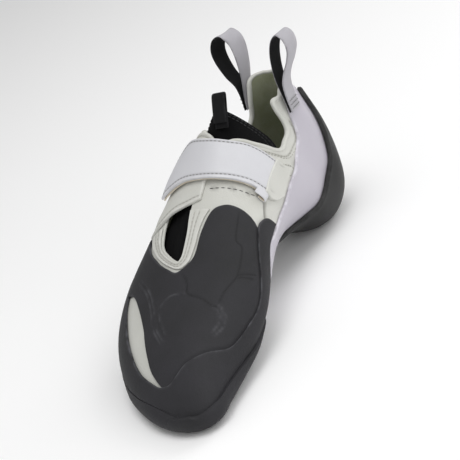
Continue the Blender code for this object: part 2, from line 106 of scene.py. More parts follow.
def crowd(count: int, amount: float = 0.75) -> np.ndarray:
    """Give shares from 0 to 1 that lie closer together at both ends.

    Args:
        count: number of shares.
        amount: 0 for even spacing, towards 1 for more crowding.

    Returns:
        The shares.
    """
    even = np.linspace(0, 1, count)
    return even - amount * np.sin(2 * np.pi * even) / (2 * np.pi)


def rounded(inside: np.ndarray, radius: float) -> np.ndarray:
    """Give how far a rounded edge drops.

    Args:
        inside: distance inside the edge, in metres.
        radius: radius of the edge.

    Returns:
        The drop at each place.
    """
    share = np.clip(1 - inside / radius, 0, 1)
    return radius * (1 - np.sqrt(np.maximum(1 - share ** 2, 0)))


def near_lines(points: np.ndarray, line: np.ndarray) -> tuple[np.ndarray, np.ndarray]:
    """Measure how far points lie from a line of short pieces.

    Args:
        points: the points, in rows of any shape.
        line: the line's corners.

    Returns:
        The distance of each point, and the share of the line's length where it is nearest.
    """
    flat = points.reshape(-1, 3)
    best = np.full(len(flat), 1e9)
    where = np.zeros(len(flat))
    lengths = np.linalg.norm(np.diff(line, axis=0), axis=1)
    before = np.concatenate([[0], np.cumsum(lengths)])
    for k, (a, b) in enumerate(zip(line[:-1], line[1:])):
        along = b - a
        share = np.clip((flat - a) @ along / max(along @ along, 1e-12), 0, 1)
        far = np.linalg.norm(flat - a - share[:, None] * along, axis=1)
        closer = far < best
        best[closer] = far[closer]
        where[closer] = (before[k] + share[closer] * lengths[k]) / before[-1]
    return best.reshape(points.shape[:-1]), where.reshape(points.shape[:-1])


@dataclass(frozen=True)
class Crease:
    """A soft trough or ridge along a few places on the last."""

    path: Table
    height: float
    width: float
    end: float = 0.06

    def lift(self, last: "Last", points: np.ndarray) -> np.ndarray:
        """Give the crease's height at points of the last.

        Args:
            last: the form that the crease runs on.
            points: the points, in rows of any shape.

        Returns:
            The height at each point, which is low for a trough.
        """
        places = through(self.path, 4 * len(self.path))
        line = last.place(places[:, 0], places[:, 1], np.zeros(len(places)))
        far, where = near_lines(points, line)
        swell = np.sin(np.pi * np.clip(where, self.end, 1 - self.end))
        return self.height * np.exp(-(far / self.width) ** 2) * swell


@dataclass(frozen=True)
class Last:
    """The form inside the shoe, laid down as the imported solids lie."""

    length: float = 0.230
    ball_width: float = 0.091
    collar_height: float = 0.104
    toe_contact: tuple[float, float] = (0.022, 0.0009)
    heel_contact: tuple[float, float] = (0.205, 0.0056)
    middle: tuple[float, float] = (-0.009101, 0.113329)
    columns: tuple[str, ...] = ("bottom_y", "bottom_z", "top_y", "top_z", "middle_x", "waist", "medial",
                                "lateral", "bottom_power", "top_power")
    rows: Table = (
        (-0.013, 0.077, -0.013, 0.077, 0.206, 0.50, 0.000, 0.000, 2.0, 2.0),
        (-0.004, 0.051, -0.002, 0.125, 0.199, 0.45, 0.120, 0.143, 2.4, 2.0),
        (0.026, 0.041, 0.030, 0.192, 0.174, 0.40, 0.205, 0.288, 2.8, 2.0),
        (0.078, 0.038, 0.087, 0.279, 0.121, 0.36, 0.252, 0.428, 3.0, 2.0),
        (0.152, 0.048, 0.165, 0.365, 0.044, 0.36, 0.334, 0.520, 3.0, 2.0),
        (0.235, 0.085, 0.248, 0.442, -0.022, 0.37, 0.422, 0.560, 3.0, 2.0),
        (0.322, 0.144, 0.335, 0.538, -0.066, 0.38, 0.462, 0.544, 2.8, 2.0),
        (0.417, 0.211, 0.426, 0.654, -0.077, 0.40, 0.420, 0.484, 2.6, 2.0),
        (0.522, 0.260, 0.513, 0.769, -0.077, 0.40, 0.370, 0.435, 2.4, 2.0),
        (0.630, 0.265, 0.578, 0.885, -0.055, 0.38, 0.319, 0.396, 2.3, 2.0),
        (0.726, 0.212, 0.622, 1.000, -0.033, 0.34, 0.286, 0.345, 2.3, 1.8),
        (0.813, 0.112, 0.652, 1.077, -0.022, 0.33, 0.270, 0.308, 2.5, 1.7),
        (0.898, 0.082, 0.674, 1.135, -0.022, 0.32, 0.253, 0.286, 2.6, 1.6),
        (0.961, 0.148, 0.687, 1.173, -0.022, 0.30, 0.250, 0.275, 2.4, 1.5),
        (0.986, 0.313, 0.696, 1.212, -0.022, 0.32, 0.240, 0.231, 2.3, 1.5),
        (0.990, 0.519, 0.700, 1.231, -0.022, 0.36, 0.222, 0.187, 2.3, 1.5),
        (0.973, 0.740, 0.704, 1.250, -0.022, 0.42, 0.196, 0.148, 2.3, 1.5),
        (0.957, 0.933, 0.709, 1.260, -0.022, 0.50, 0.165, 0.128, 2.4, 1.6),
        (0.952, 1.077, 0.713, 1.269, -0.022, 0.50, 0.154, 0.122, 2.4, 1.6),
    )

    @property
    def slope(self) -> float:
        """Give the floor's slope in the last's own frame."""
        return (self.heel_contact[1] - self.toe_contact[1]) / (self.heel_contact[0] - self.toe_contact[0])

    def floor(self, y: np.ndarray) -> np.ndarray:
        """Give the floor's height in the last's own frame."""
        return self.toe_contact[1] + self.slope * (y - self.toe_contact[0])

    def section(self, station: np.ndarray) -> dict[str, np.ndarray]:
        """Read every column of the last at stations.

        Args:
            station: the stations along the foot.

        Returns:
            Each column by its name, with lengths in metres.
        """
        scale = np.array([self.length, self.collar_height, self.length, self.collar_height,
                          self.ball_width, 1, self.ball_width, self.ball_width, 1, 1])
        rows = np.array(self.rows, float) * scale
        before = rows[1].copy()
        for name in ("medial", "lateral"):
            before[self.columns.index(name)] *= -1
        for name in ("bottom_z", "top_z"):
            k = self.columns.index(name)
            before[k] = 2 * rows[0, k] - rows[1, k]
        knots = np.vstack([before, rows, 2 * rows[-1] - rows[-2]])
        station = np.clip(station, 0, len(rows) - 1 - 1e-9)
        low = station.astype(int)
        curve = between_knots(knots, low, (station - low)[..., None])
        return {name: curve[..., k] for k, name in enumerate(self.columns)}

    def on(self, station: np.ndarray, angle: np.ndarray) -> np.ndarray:
        """Give points of the last in its own frame.

        Args:
            station: stations along the foot.
            angle: angles round the section, in radians.

        Returns:
            The points.
        """
        row = self.section(station)
        rise_y, rise_z = row["top_y"] - row["bottom_y"], row["top_z"] - row["bottom_z"]
        height = np.hypot(rise_y, rise_z)
        flat = height < 1e-9
        up_y = np.where(flat, 0, rise_y / np.maximum(height, 1e-9))
        up_z = np.where(flat, 1, rise_z / np.maximum(height, 1e-9))
        cosine, sine = np.cos(angle), np.sin(angle)
        width = np.maximum(np.where(cosine >= 0, row["medial"], row["lateral"]), 1e-7)
        reach = np.maximum(height * np.where(sine >= 0, 1 - row["waist"], row["waist"]), 1e-7)
        power = np.where(sine >= 0, row["top_power"], row["bottom_power"])
        radius = (np.abs(cosine / width) ** power + np.abs(sine / reach) ** power) ** (-1 / power)
        return np.stack([row["middle_x"] + radius * cosine,
                         row["bottom_y"] + rise_y * row["waist"] + up_y * radius * sine,
                         row["bottom_z"] + rise_z * row["waist"] + up_z * radius * sine], -1)

    def place(self, station: np.ndarray, degrees: np.ndarray, height: np.ndarray | float) -> np.ndarray:
        """Give the points at a height off the last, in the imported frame.

        Args:
            station: stations along the foot.
            degrees: angles round the section.
            height: distance off the surface, in metres.

        Returns:
            The points, with the sole's flat spots pressed to the floor.
        """
        station, degrees, height = np.broadcast_arrays(
            np.asarray(station, float), np.asarray(degrees, float), np.asarray(height, float))
        angle, step = np.radians(degrees), 1e-3
        inner = np.maximum(station, 2e-3)
        forward = self.on(inner + step, angle) - self.on(inner - step, angle)
        round_ = self.on(inner, angle + step) - self.on(inner, angle - step)
        normal = np.cross(forward, round_)
        normal /= np.maximum(np.linalg.norm(normal, axis=-1, keepdims=True), 1e-15)
        points = self.on(station, angle) + normal * height[..., None]
        points[..., 2] = np.maximum(points[..., 2], self.floor(points[..., 1]))
        return self.lay(points)

    def lay(self, points: np.ndarray) -> np.ndarray:
        """Carry points from the last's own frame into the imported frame.

        Args:
            points: the points in the last's own frame.

        Returns:
            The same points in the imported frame.
        """
        lie = math.atan(self.slope)
        height = points[..., 2] - self.floor(points[..., 1])
        return np.stack([points[..., 0] - self.middle[0],
                         points[..., 1] / math.cos(lie) + height * math.sin(lie) - self.middle[1],
                         height * math.cos(lie)], -1)

    def outward(self, station: np.ndarray, degrees: np.ndarray) -> np.ndarray:
        """Give the last's outward direction at places."""
        return unit(self.place(station, degrees, 0.002) - self.place(station, degrees, 0.001))


LAST = Last()


@dataclass(frozen=True)
class Camera:
    """The photograph's camera, as angles and a distance from a point of the last's own frame."""

    target: tuple[float, float, float] = (-0.005, 0.120, 0.050)
    azimuth: float = 38.9
    elevation: float = 23.0
    roll: float = 23.7
    distance: float = 0.751
    field_of_view: float = 20.0
    shift: tuple[float, float] = (0.0024, -0.0004)
    photo_side: float = 460.0
    # The search for a place: its stations and angles, how many or how far apart, and how near a match is.
    search_along: tuple[float, float, int] = (0.2, 17.0, 150)
    search_round: tuple[float, float, float] = (-80.0, 262.0, 2.5)
    search_pixels: float = 2.0
    # The steps that measure a slope, the longest move in one round, and the number of rounds.
    station_step: float = 0.001
    degree_step: float = 0.01
    longest_move: tuple[float, float] = (0.2, 4.0)
    rounds: int = 8

    def frame(self) -> tuple[np.ndarray, np.ndarray]:
        """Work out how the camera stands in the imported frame.

        Returns:
            Its place, and its right, upward and backward directions in three rows.
        """
        a, e, r = (math.radians(v) for v in (self.azimuth, self.elevation, self.roll))
        back = np.array([math.sin(a) * math.cos(e), -math.cos(a) * math.cos(e), math.sin(e)])
        level = np.array([math.cos(a), math.sin(a), 0.0])
        up = np.cross(back, level)
        right = math.cos(r) * level - math.sin(r) * up
        above = math.sin(r) * level + math.cos(r) * up
        place = np.array(self.target) + right * self.shift[0] + above * self.shift[1] + back * self.distance
        ends = LAST.lay(np.array([place, place + right, place + above, place + back]))
        return ends[0], ends[1:] - ends[0]

    def project(self, points: np.ndarray) -> tuple[np.ndarray, np.ndarray]:
        """Find where points fall in the photograph.

        Args:
            points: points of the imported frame, in rows of any shape.

        Returns:
            Their places in pixels from the photograph's top left, and their distances from the camera.
        """
        place, axes = self.frame()
        right, above, back = np.moveaxis((points - place) @ axes.T, -1, 0)
        middle = self.photo_side / 2
        scale = middle / math.tan(math.radians(self.field_of_view) / 2) / -back
        return np.stack([middle + scale * right, middle - scale * above], -1), -back

    def under(self, spots: Table, height: float = 0.001) -> np.ndarray:
        """Find the places on the last that lie under spots of the photograph.

        Args:
            spots: pixels to the right of and below the photograph's top left corner.
            height: how far off the last the spots lie, in metres.

        Returns:
            The station and the angle in degrees of each spot.
        """
        station, degrees = np.meshgrid(np.linspace(*self.search_along), np.arange(*self.search_round),
                                       indexing="ij")
        points = LAST.place(station, degrees, height)
        seen, depth = self.project(points)
        towards = self.frame()[0] - points
        hidden = np.einsum("...k,...k->...", towards, LAST.outward(station, degrees)) <= 0
        places = []
        for spot in np.asarray(spots, float):
            miss = np.where(hidden, np.inf, np.linalg.norm(seen - spot, axis=-1))
            nearest = np.where(miss < miss.min() + self.search_pixels, depth, np.inf).argmin()
            start = np.array([station.flat[nearest], degrees.flat[nearest]])
            places.append(self.refine(start, spot, height))
        return np.array(places)

    def refine(self, at: np.ndarray, spot: np.ndarray, height: float) -> np.ndarray:
        """Move a place on the last until it lies under a spot of the photograph.

        Args:
            at: station and angle to start from.
            spot: the spot, in pixels.
            height: how far off the last the spot lies.

        Returns:
            The station and the angle in degrees.
        """
        steps = np.array([(0, 0), (self.station_step, 0), (0, self.degree_step)])
        most = np.array(self.longest_move)
        for _ in range(self.rounds):
            tries = at + steps
            here, ahead, beside = self.project(LAST.place(tries[:, 0], tries[:, 1], height))[0]
            slopes = np.column_stack([(ahead - here) / self.station_step,
                                      (beside - here) / self.degree_step])
            at = at + np.clip(np.linalg.solve(slopes, spot - here), -most, most)
        return at

    def build(self) -> None:
        """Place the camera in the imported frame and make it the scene's."""
        place, axes = self.frame()
        data = bpy.data.cameras.new("camera")
        data.sensor_fit = "HORIZONTAL"
        data.angle = math.radians(self.field_of_view)
        data.clip_start, data.clip_end = 0.01, 50.0
        made = bpy.data.objects.new("camera", data)
        turned = Matrix([Vector(axis).normalized() for axis in axes]).transposed().to_4x4()
        made.matrix_world = Matrix.Translation(Vector(place)) @ turned
        bpy.context.scene.collection.objects.link(made)
        bpy.context.scene.camera = made


CAMERA = Camera()

# Folds of the soft upper, each a row of places with its height and half width in metres.
CREASES = (
    Crease(((7.30, 160), (7.55, 150), (7.85, 143)), -0.0010, 0.0022),
    Crease(((7.55, 168), (7.80, 158), (8.05, 150)), 0.0008, 0.0024),
    Crease(((7.42, 118), (7.62, 106), (7.72, 94)), -0.0006, 0.0020),
    Crease(((8.35, 170), (8.75, 158), (9.2, 148)), -0.0009, 0.0030),
    Crease(((8.9, 172), (9.5, 156), (10.0, 142)), 0.0009, 0.0034),
    Crease(((9.6, 166), (10.2, 150), (10.6, 136)), -0.0010, 0.0030),
    Crease(((10.6, 158), (11.4, 150), (12.2, 146)), 0.0008, 0.0036),
    Crease(((8.30, 14), (8.10, 8), (8.02, 2)), -0.0012, 0.0012),
    Crease(((8.9, 22), (9.6, 30), (10.1, 38)), -0.0007, 0.0016),
    Crease(((9.2, 8), (9.9, 18), (10.5, 28)), 0.0006, 0.0030),
    Crease(((10.4, 30), (11.0, 38), (11.6, 48)), -0.0006, 0.0024),
    Crease(((11.4, 44), (12.2, 50), (13.0, 54)), 0.0006, 0.0030),
    Crease(((6.9, 70), (7.4, 58), (7.7, 44)), 0.0006, 0.0030),
    Crease(((7.9, 60), (7.95, 48), (7.98, 36)), -0.0005, 0.0020),
)


def relief(station: np.ndarray, degrees: np.ndarray) -> np.ndarray:
    """Give the folds' height at places on the last."""
    points = LAST.place(station, degrees, 0.0)
    return sum((crease.lift(LAST, points) for crease in CREASES), np.zeros(points.shape[:-1]))


def laid(station: np.ndarray, degrees: np.ndarray,
         height: np.ndarray | float) -> tuple[np.ndarray, np.ndarray]:
    """Lay a line over the folds.

    Args:
        station: the line's stations.
        degrees: its angles.
        height: its height off the last where there is no fold.

    Returns:
        The line's points and the outward direction at each.
    """
    lift = relief(station, degrees)
    return LAST.place(station, degrees, height + lift), LAST.outward(station, degrees)


# Finishes

def linear(red: float, green: float, blue: float) -> tuple[float, float, float, float]:
    """Turn a screen colour into a linear one.

    Args:
        red: its red, from 0 to 255.
        green: its green.
        blue: its blue.

    Returns:
        The linear colour, with an alpha of 1.
    """
    def one(value: float) -> float:
        """Turn one channel."""
        share = value / 255
        return share / 12.92 if share <= 0.04045 else ((share + 0.055) / 1.055) ** 2.4
    return one(red), one(green), one(blue), 1.0


class NodeBoard:
    """Short calls for laying nodes into one tree."""

    def __init__(self, tree: bpy.types.NodeTree) -> None:
        """Start on a tree."""
        self.tree = tree
        self.count = 0

    def add(self, kind: str, inputs: dict | None = None, **settings: object) -> bpy.types.Node:
        """Add a node.

        Args:
            kind: the node's type, without its Shader prefix where it has one.
            inputs: for each input's name or number, a value or an output to link.
            settings: the node's own settings.

        Returns:
            The node.
        """
        node = self.tree.nodes.new(kind if kind.startswith("Node") else "ShaderNode" + kind)
        node.location = (220 * (self.count % 9), -260 * (self.count // 9))
        self.count += 1
        for name, value in settings.items():
            setattr(node, name, value)
        for name, value in (inputs or {}).items():
            if isinstance(value, bpy.types.NodeSocket):
                self.tree.links.new(value, node.inputs[name])
            else:
                node.inputs[name].default_value = value
        return node

    def maths(self, operation: str, *values: Feed) -> bpy.types.NodeSocket:
        """Add a Math node and give its output."""
        return self.add("Math", dict(enumerate(values)), operation=operation).outputs[0]

    def mix(self, share: Feed, first: Feed, second: Feed) -> bpy.types.NodeSocket:
        """Add a colour mix.

        Args:
            share: how much of the second colour is taken.
            first: the colour, or output, at a share of 0.
            second: the colour, or output, at a share of 1.

        Returns:
            The mixed colour's output.
        """
        return self.add("Mix", {0: share, 6: first, 7: second}, data_type="RGBA").outputs[2]

    def total(self, first: Feed, share: float, second: Feed, rest: float) -> bpy.types.NodeSocket:
        """Add two values up, each by its own share."""
        return self.maths("ADD", self.maths("MULTIPLY", first, share), self.maths("MULTIPLY", second, rest))

    def span(self, value: Feed, low: float, high: float, to_low: float = 0.0,
             to_high: float = 1.0) -> bpy.types.NodeSocket:
        """Spread a value's range onto another, held at its ends."""
        return self.add("MapRange", {0: value, 1: low, 2: high, 3: to_low, 4: to_high}).outputs[0]

    def noise(self, vector: Feed, scale: Feed, detail: float = 4.0,
              roughness: float = 0.55) -> bpy.types.NodeSocket:
        """Add a noise and give its value."""
        return self.add("TexNoise", {"Vector": vector, "Scale": scale, "Detail": detail,
                                     "Roughness": roughness}).outputs[0]


class NodeGroups:
    """The shader groups that several finishes share, each built once."""

    # What every grain takes and gives.
    grain = ((("Vector", "Vector"), ("Scale", "Float")), (("Height", "Float"), ("Tone", "Float")))

    def __init__(self) -> None:
        """Start with none built."""
        self.built: dict[str, bpy.types.NodeTree] = {}

    @staticmethod
    def start(name: str, inputs: Sequence[tuple[str, str]], outputs: Sequence[tuple[str, str]]
              ) -> tuple[bpy.types.NodeTree, NodeBoard, bpy.types.NodeOutputs, bpy.types.NodeInputs]:
        """Open a new group.

        Args:
            name: the group's name.
            inputs: name and kind of each input.
            outputs: name and kind of each output.

        Returns:
            The tree, its board, its inner inputs and its inner outputs.
        """
        tree = bpy.data.node_groups.new(name, "ShaderNodeTree")
        for way, sockets in (("INPUT", inputs), ("OUTPUT", outputs)):
            for label, kind in sockets:
                tree.interface.new_socket(name=label, in_out=way, socket_type="NodeSocket" + kind)
        board = NodeBoard(tree)
        entry = board.add("NodeGroupInput")
        leave = board.add("NodeGroupOutput")
        return tree, board, entry.outputs, leave.inputs

    def get(self, name: str) -> bpy.types.NodeTree:
        """Give a group, building it at its first use.

        Args:
            name: the group's name, which is also its method's.

        Returns:
            The group.
        """
        if name not in self.built:
            self.built[name] = getattr(self, name)()
        return self.built[name]

    def leather(self) -> bpy.types.NodeTree:
        """Build the fine cell grain of coated synthetic leather.

        Returns:
            The group.
        """
        tree, board, entry, leave = self.start("leather", *self.grain)
        bent = board.add("TexNoise", {"Vector": entry["Vector"], "Scale": 180.0, "Detail": 2.0})
        moved = board.add("MixRGB", {0: 0.0006, 1: entry["Vector"], 2: bent.outputs[1]}, blend_type="ADD")
        cells = board.add("TexVoronoi", {"Vector": moved.outputs[0], "Scale": entry["Scale"]},
                          feature="SMOOTH_F1")
        fine = board.noise(entry["Vector"], board.maths("MULTIPLY", entry["Scale"], 2.6), 3.0)
        broad = board.noise(entry["Vector"], 42.0, 3.0)
        pits = board.span(cells.outputs[0], 0.1, 0.75)
        tree.links.new(board.total(pits, 0.7, fine, 0.3), leave["Height"])
        tree.links.new(board.maths("ADD", board.maths("MULTIPLY", pits, 0.25),
                                   board.span(broad, 0.35, 0.7, 0.0, 0.6)), leave["Tone"])
        return tree

    def rubber(self) -> bpy.types.NodeTree:
        """Build the faint moulded texture and the chalky clouds of climbing rubber.

        Returns:
            The group.
        """
        tree, board, entry, leave = self.start("rubber", *self.grain)
        fine = board.noise(entry["Vector"], entry["Scale"], 6.0, 0.7)
        dots = board.add("TexVoronoi", {"Vector": entry["Vector"],
                                        "Scale": board.maths("MULTIPLY", entry["Scale"], 0.8)})
        clouds = board.noise(entry["Vector"], 28.0, 5.0, 0.6)
        long = board.add("Mapping", {"Vector": entry["Vector"], "Scale": (90.0, 14.0, 60.0)})
        scuffs = board.noise(long.outputs[0], 3.0, 6.0, 0.7)
        tree.links.new(board.total(fine, 0.75, dots.outputs[0], 0.25), leave["Height"])
        tone = board.maths("ADD", board.span(clouds, 0.35, 0.75, 0.0, 0.55),
                           board.span(scuffs, 0.6, 0.8, 0.0, 0.5))
        tree.links.new(tone, leave["Tone"])
        return tree

    def weave(self) -> bpy.types.NodeTree:
        """Build a plain weave on a surface map in metres; the scale is threads per metre.

        Returns:
            The group.
        """
        tree, board, entry, leave = self.start("weave", *self.grain)
        parts = board.add("SeparateXYZ", {0: entry["Vector"]})
        turns = [board.maths("MULTIPLY", board.maths("MULTIPLY", parts.outputs[k], entry["Scale"]), math.pi)
                 for k in (0, 1)]
        over = board.maths("MULTIPLY", board.maths("SINE", turns[0]), board.maths("SINE", turns[1]))
        bulge = board.maths("ABSOLUTE", over)
        fuzz = board.noise(entry["Vector"], board.maths("MULTIPLY", entry["Scale"], 0.9), 4.0)
        tree.links.new(board.total(bulge, 0.7, fuzz, 0.3), leave["Height"])
        tree.links.new(board.maths("ADD", board.span(over, -1.0, 1.0, 0.0, 0.6),
                                   board.span(fuzz, 0.4, 0.7, 0.0, 0.4)), leave["Tone"])
        return tree

    def pile(self) -> bpy.types.NodeTree:
        """Build the short nap of a brushed lining.

        Returns:
            The group.
        """
        tree, board, entry, leave = self.start("pile", *self.grain)
        hair = board.noise(entry["Vector"], entry["Scale"], 8.0, 0.75)
        broad = board.noise(entry["Vector"], 60.0, 3.0)
        tree.links.new(hair, leave["Height"])
        tree.links.new(board.maths("ADD", board.span(hair, 0.3, 0.7, 0.0, 0.5),
                                   board.span(broad, 0.35, 0.7, 0.0, 0.5)), leave["Tone"])
        return tree

    def wear_and_painted_light(self) -> bpy.types.NodeTree:
        """Build the colour of a used surface: its two shades, its scuffed edges, a painted highlight on
        raised lines and a painted shade in its sunk lines.

        Returns:
            The group.
        """
        tree, board, entry, leave = self.start(
            "wear_and_painted_light", (("Colour", "Color"), ("Shade", "Color"), ("Scuffed And Highlit", "Color"), ("Groove Shade", "Color"),
                     ("Tone", "Float"), ("Edge", "Float"), ("Line", "Float"), ("Vector", "Vector"),
                     ("Roughness", "Float"), ("Spread", "Float")),
            (("Colour", "Color"), ("Roughness", "Float")))
        patchy = board.span(board.noise(entry["Vector"], 160.0, 5.0, 0.65), 0.38, 0.66)
        # Scuffed edges, and the painted highlight on raised lines.
        scuff_and_highlight_mask = board.maths("MULTIPLY", entry["Edge"], patchy)
        body = board.mix(entry["Tone"], entry["Colour"], entry["Shade"])
        scuffed_and_highlit = board.mix(scuff_and_highlight_mask, body, entry["Scuffed And Highlit"])
        # Sunk lines take the groove colour as a painted shade.
        tree.links.new(board.mix(entry["Line"], scuffed_and_highlit, entry["Groove Shade"]), leave["Colour"])
        spread = board.maths("MULTIPLY", entry["Spread"], entry["Tone"])
        rough = board.maths("ADD", entry["Roughness"], spread)
        tree.links.new(board.add("Clamp", {0: rough, 1: 0.05, 2: 1.0}).outputs[0], leave["Roughness"])
        return tree


GROUPS = NodeGroups()


class Grain(Enum):
    """The surface groups that a finish may take."""

    LEATHER = "leather"
    RUBBER = "rubber"
    WEAVE = "weave"
    PILE = "pile"


@dataclass(frozen=True)
class Finish:
    """One finish of the shoe and the sizes of its grain."""

    name: str
    colour: tuple[float, float, float]
    shade: tuple[float, float, float]
    # Colour of scuffed edges, also painted on raised lines as a highlight.
    scuffed_and_highlit: tuple[float, float, float]
    # Colour of the painted shade in sunk lines and grooves.
    sunk: tuple[float, float, float]
    grain: Grain
    scale: float
    depth: float
    roughness: float
    spread: float = 0.1
    coat: float = 0.0
    sheen: float = 0.0
    specular: float = 0.5
    on_surface: bool = False

    def make(self) -> bpy.types.Material:
        """Build the finish's material, once.

        Returns:
            The material.
        """
        if self.name in bpy.data.materials:
            return bpy.data.materials[self.name]
        made = bpy.data.materials.new(self.name)
        made.use_nodes = True
        made.diffuse_color = linear(*self.colour)
        tree = made.node_tree
        tree.nodes.clear()
        board = NodeBoard(tree)
        places = board.add("TexCoord").outputs
        vector = places["UV"] if self.on_surface else places["Object"]
        grain = board.add("Group", {"Vector": vector, "Scale": self.scale},
                          node_tree=GROUPS.get(self.grain.value)).outputs
        # The edge attribute holds scuffs and the painted highlight on raised lines; the line attribute holds
        # painted shade in grooves.
        edge = board.add("Attribute", attribute_name="edge").outputs["Fac"]
        line = board.add("Attribute", attribute_name="line").outputs["Fac"]
        wear_and_painted_light = board.add("Group", {
            "Colour": linear(*self.colour), "Shade": linear(*self.shade), "Scuffed And Highlit": linear(*self.scuffed_and_highlit),
            "Groove Shade": linear(*self.sunk), "Tone": grain["Tone"], "Edge": edge, "Line": line,
            "Vector": places["Object"], "Roughness": self.roughness, "Spread": self.spread},
            node_tree=GROUPS.get("wear_and_painted_light")).outputs
        bump = board.add("Bump", {"Height": grain["Height"], "Distance": self.depth, "Strength": 1.0})
        shader = board.add("BsdfPrincipled", {
            "Base Color": wear_and_painted_light["Colour"], "Roughness": wear_and_painted_light["Roughness"], "Normal": bump.outputs[0],
            "Coat Weight": self.coat, "Coat Roughness": 0.3,
            "Sheen Weight": self.sheen, "Specular IOR Level": self.specular})
        board.add("OutputMaterial", {"Surface": shader.outputs[0]})
        return made


# Each finish gives its colour, its second shade, its colour for scuffed edges and for the painted highlight
# on raised lines, and its painted shade for sunk lines.
LEATHER = Finish("off_white_synthetic", (204, 204, 198), (193, 193, 186), (214, 214, 209), (136, 135, 129),
                 Grain.LEATHER, 1500.0, 0.00010, 0.56, 0.12, coat=0.04)
LINING_GREY = Finish("collar_lining", (164, 166, 146), (124, 130, 94), (186, 186, 178), (92, 96, 72),
                     Grain.PILE, 1700.0, 0.00022, 0.92, sheen=0.25)
STRAP_SKIN = Finish("strap_synthetic", (206, 206, 210), (198, 198, 202), (216, 216, 219), (146, 145, 148),
                    Grain.LEATHER, 1900.0, 0.00005, 0.42, 0.08, coat=0.10)
CREAM = Finish("strap_lining_fabric", (206, 196, 178), (186, 174, 154), (222, 214, 198), (150, 140, 124),
               Grain.PILE, 1500.0, 0.00020, 0.95, sheen=0.3)
RUBBER = Finish("toe_rubber", (36, 36, 38), (54, 53, 58), (78, 78, 82), (14, 14, 16),
                Grain.RUBBER, 1300.0, 0.00024, 0.60, 0.14, specular=0.28)
HEEL_RUBBER = Finish("heel_rubber", (23, 23, 23), (34, 34, 35), (54, 54, 54), (12, 12, 12),
                     Grain.RUBBER, 1000.0, 0.00014, 0.52, 0.14, specular=0.32)
PALE_RUBBER = Finish("pale_heel_rubber", (186, 182, 191), (177, 173, 183), (220, 218, 225), (142, 138, 148),
                     Grain.RUBBER, 900.0, 0.00004, 0.40, 0.06, coat=0.12)
BLACK_CLOTH = Finish("black_cloth", (7, 7, 8), (14, 14, 15), (28, 28, 30), (5, 5, 5),
                     Grain.WEAVE, 1500.0, 0.00018, 0.92, sheen=0.01, specular=0.12, on_surface=True)
WEBBING = Finish("grey_webbing", (186, 184, 189), (160, 158, 164), (112, 110, 116), (110, 110, 114),
                 Grain.WEAVE, 1700.0, 0.00016, 0.80, sheen=0.2, on_surface=True)
WEBBING_BACK = Finish("black_webbing", (14, 14, 15), (26, 26, 28), (50, 50, 52), (8, 8, 8),
                      Grain.WEAVE, 1700.0, 0.00016, 0.9, sheen=0.02, specular=0.2, on_surface=True)
FOOTBED = Finish("footbed", (74, 80, 54), (58, 63, 42), (96, 100, 74), (40, 44, 30),
                 Grain.PILE, 1300.0, 0.00025, 0.95, sheen=0.2)
PALE_THREAD = Finish("pale_thread", (184, 183, 176), (164, 162, 155), (198, 198, 192), (130, 130, 126),
                     Grain.PILE, 5000.0, 0.00005, 0.75)
DARK_THREAD = Finish("dark_thread", (70, 70, 72), (52, 52, 54), (90, 90, 92), (40, 40, 40),
                     Grain.PILE, 5000.0, 0.00005, 0.75)
GREY_THREAD = Finish("grey_thread", (138, 138, 137), (118, 118, 117), (158, 158, 156), (96, 96, 95),
                     Grain.PILE, 5000.0, 0.00005, 0.75)
BLACK_THREAD = Finish("black_thread", (44, 44, 46), (32, 32, 34), (60, 60, 62), (20, 20, 20),
                      Grain.PILE, 5000.0, 0.00005, 0.75)


# Mesh builders

@dataclass
class Sides:
    """Which sides of a layer are free edges: first and last row, first and last column."""

    first_row: bool = True
    last_row: bool = True
    first_column: bool = True
    last_column: bool = True


def run_lengths(points: np.ndarray, axis: int) -> np.ndarray:
    """Measure the length along a grid's lines from their start.

    Args:
        points: the grid's points.
        axis: 0 along its columns, 1 along its rows.

    Returns:
        The length at each point.
    """
    steps = np.linalg.norm(np.diff(points, axis=axis), axis=-1)
    pad = [(0, 0), (0, 0)]
    pad[axis] = (1, 0)
    return np.pad(np.cumsum(steps, axis=axis), pad)


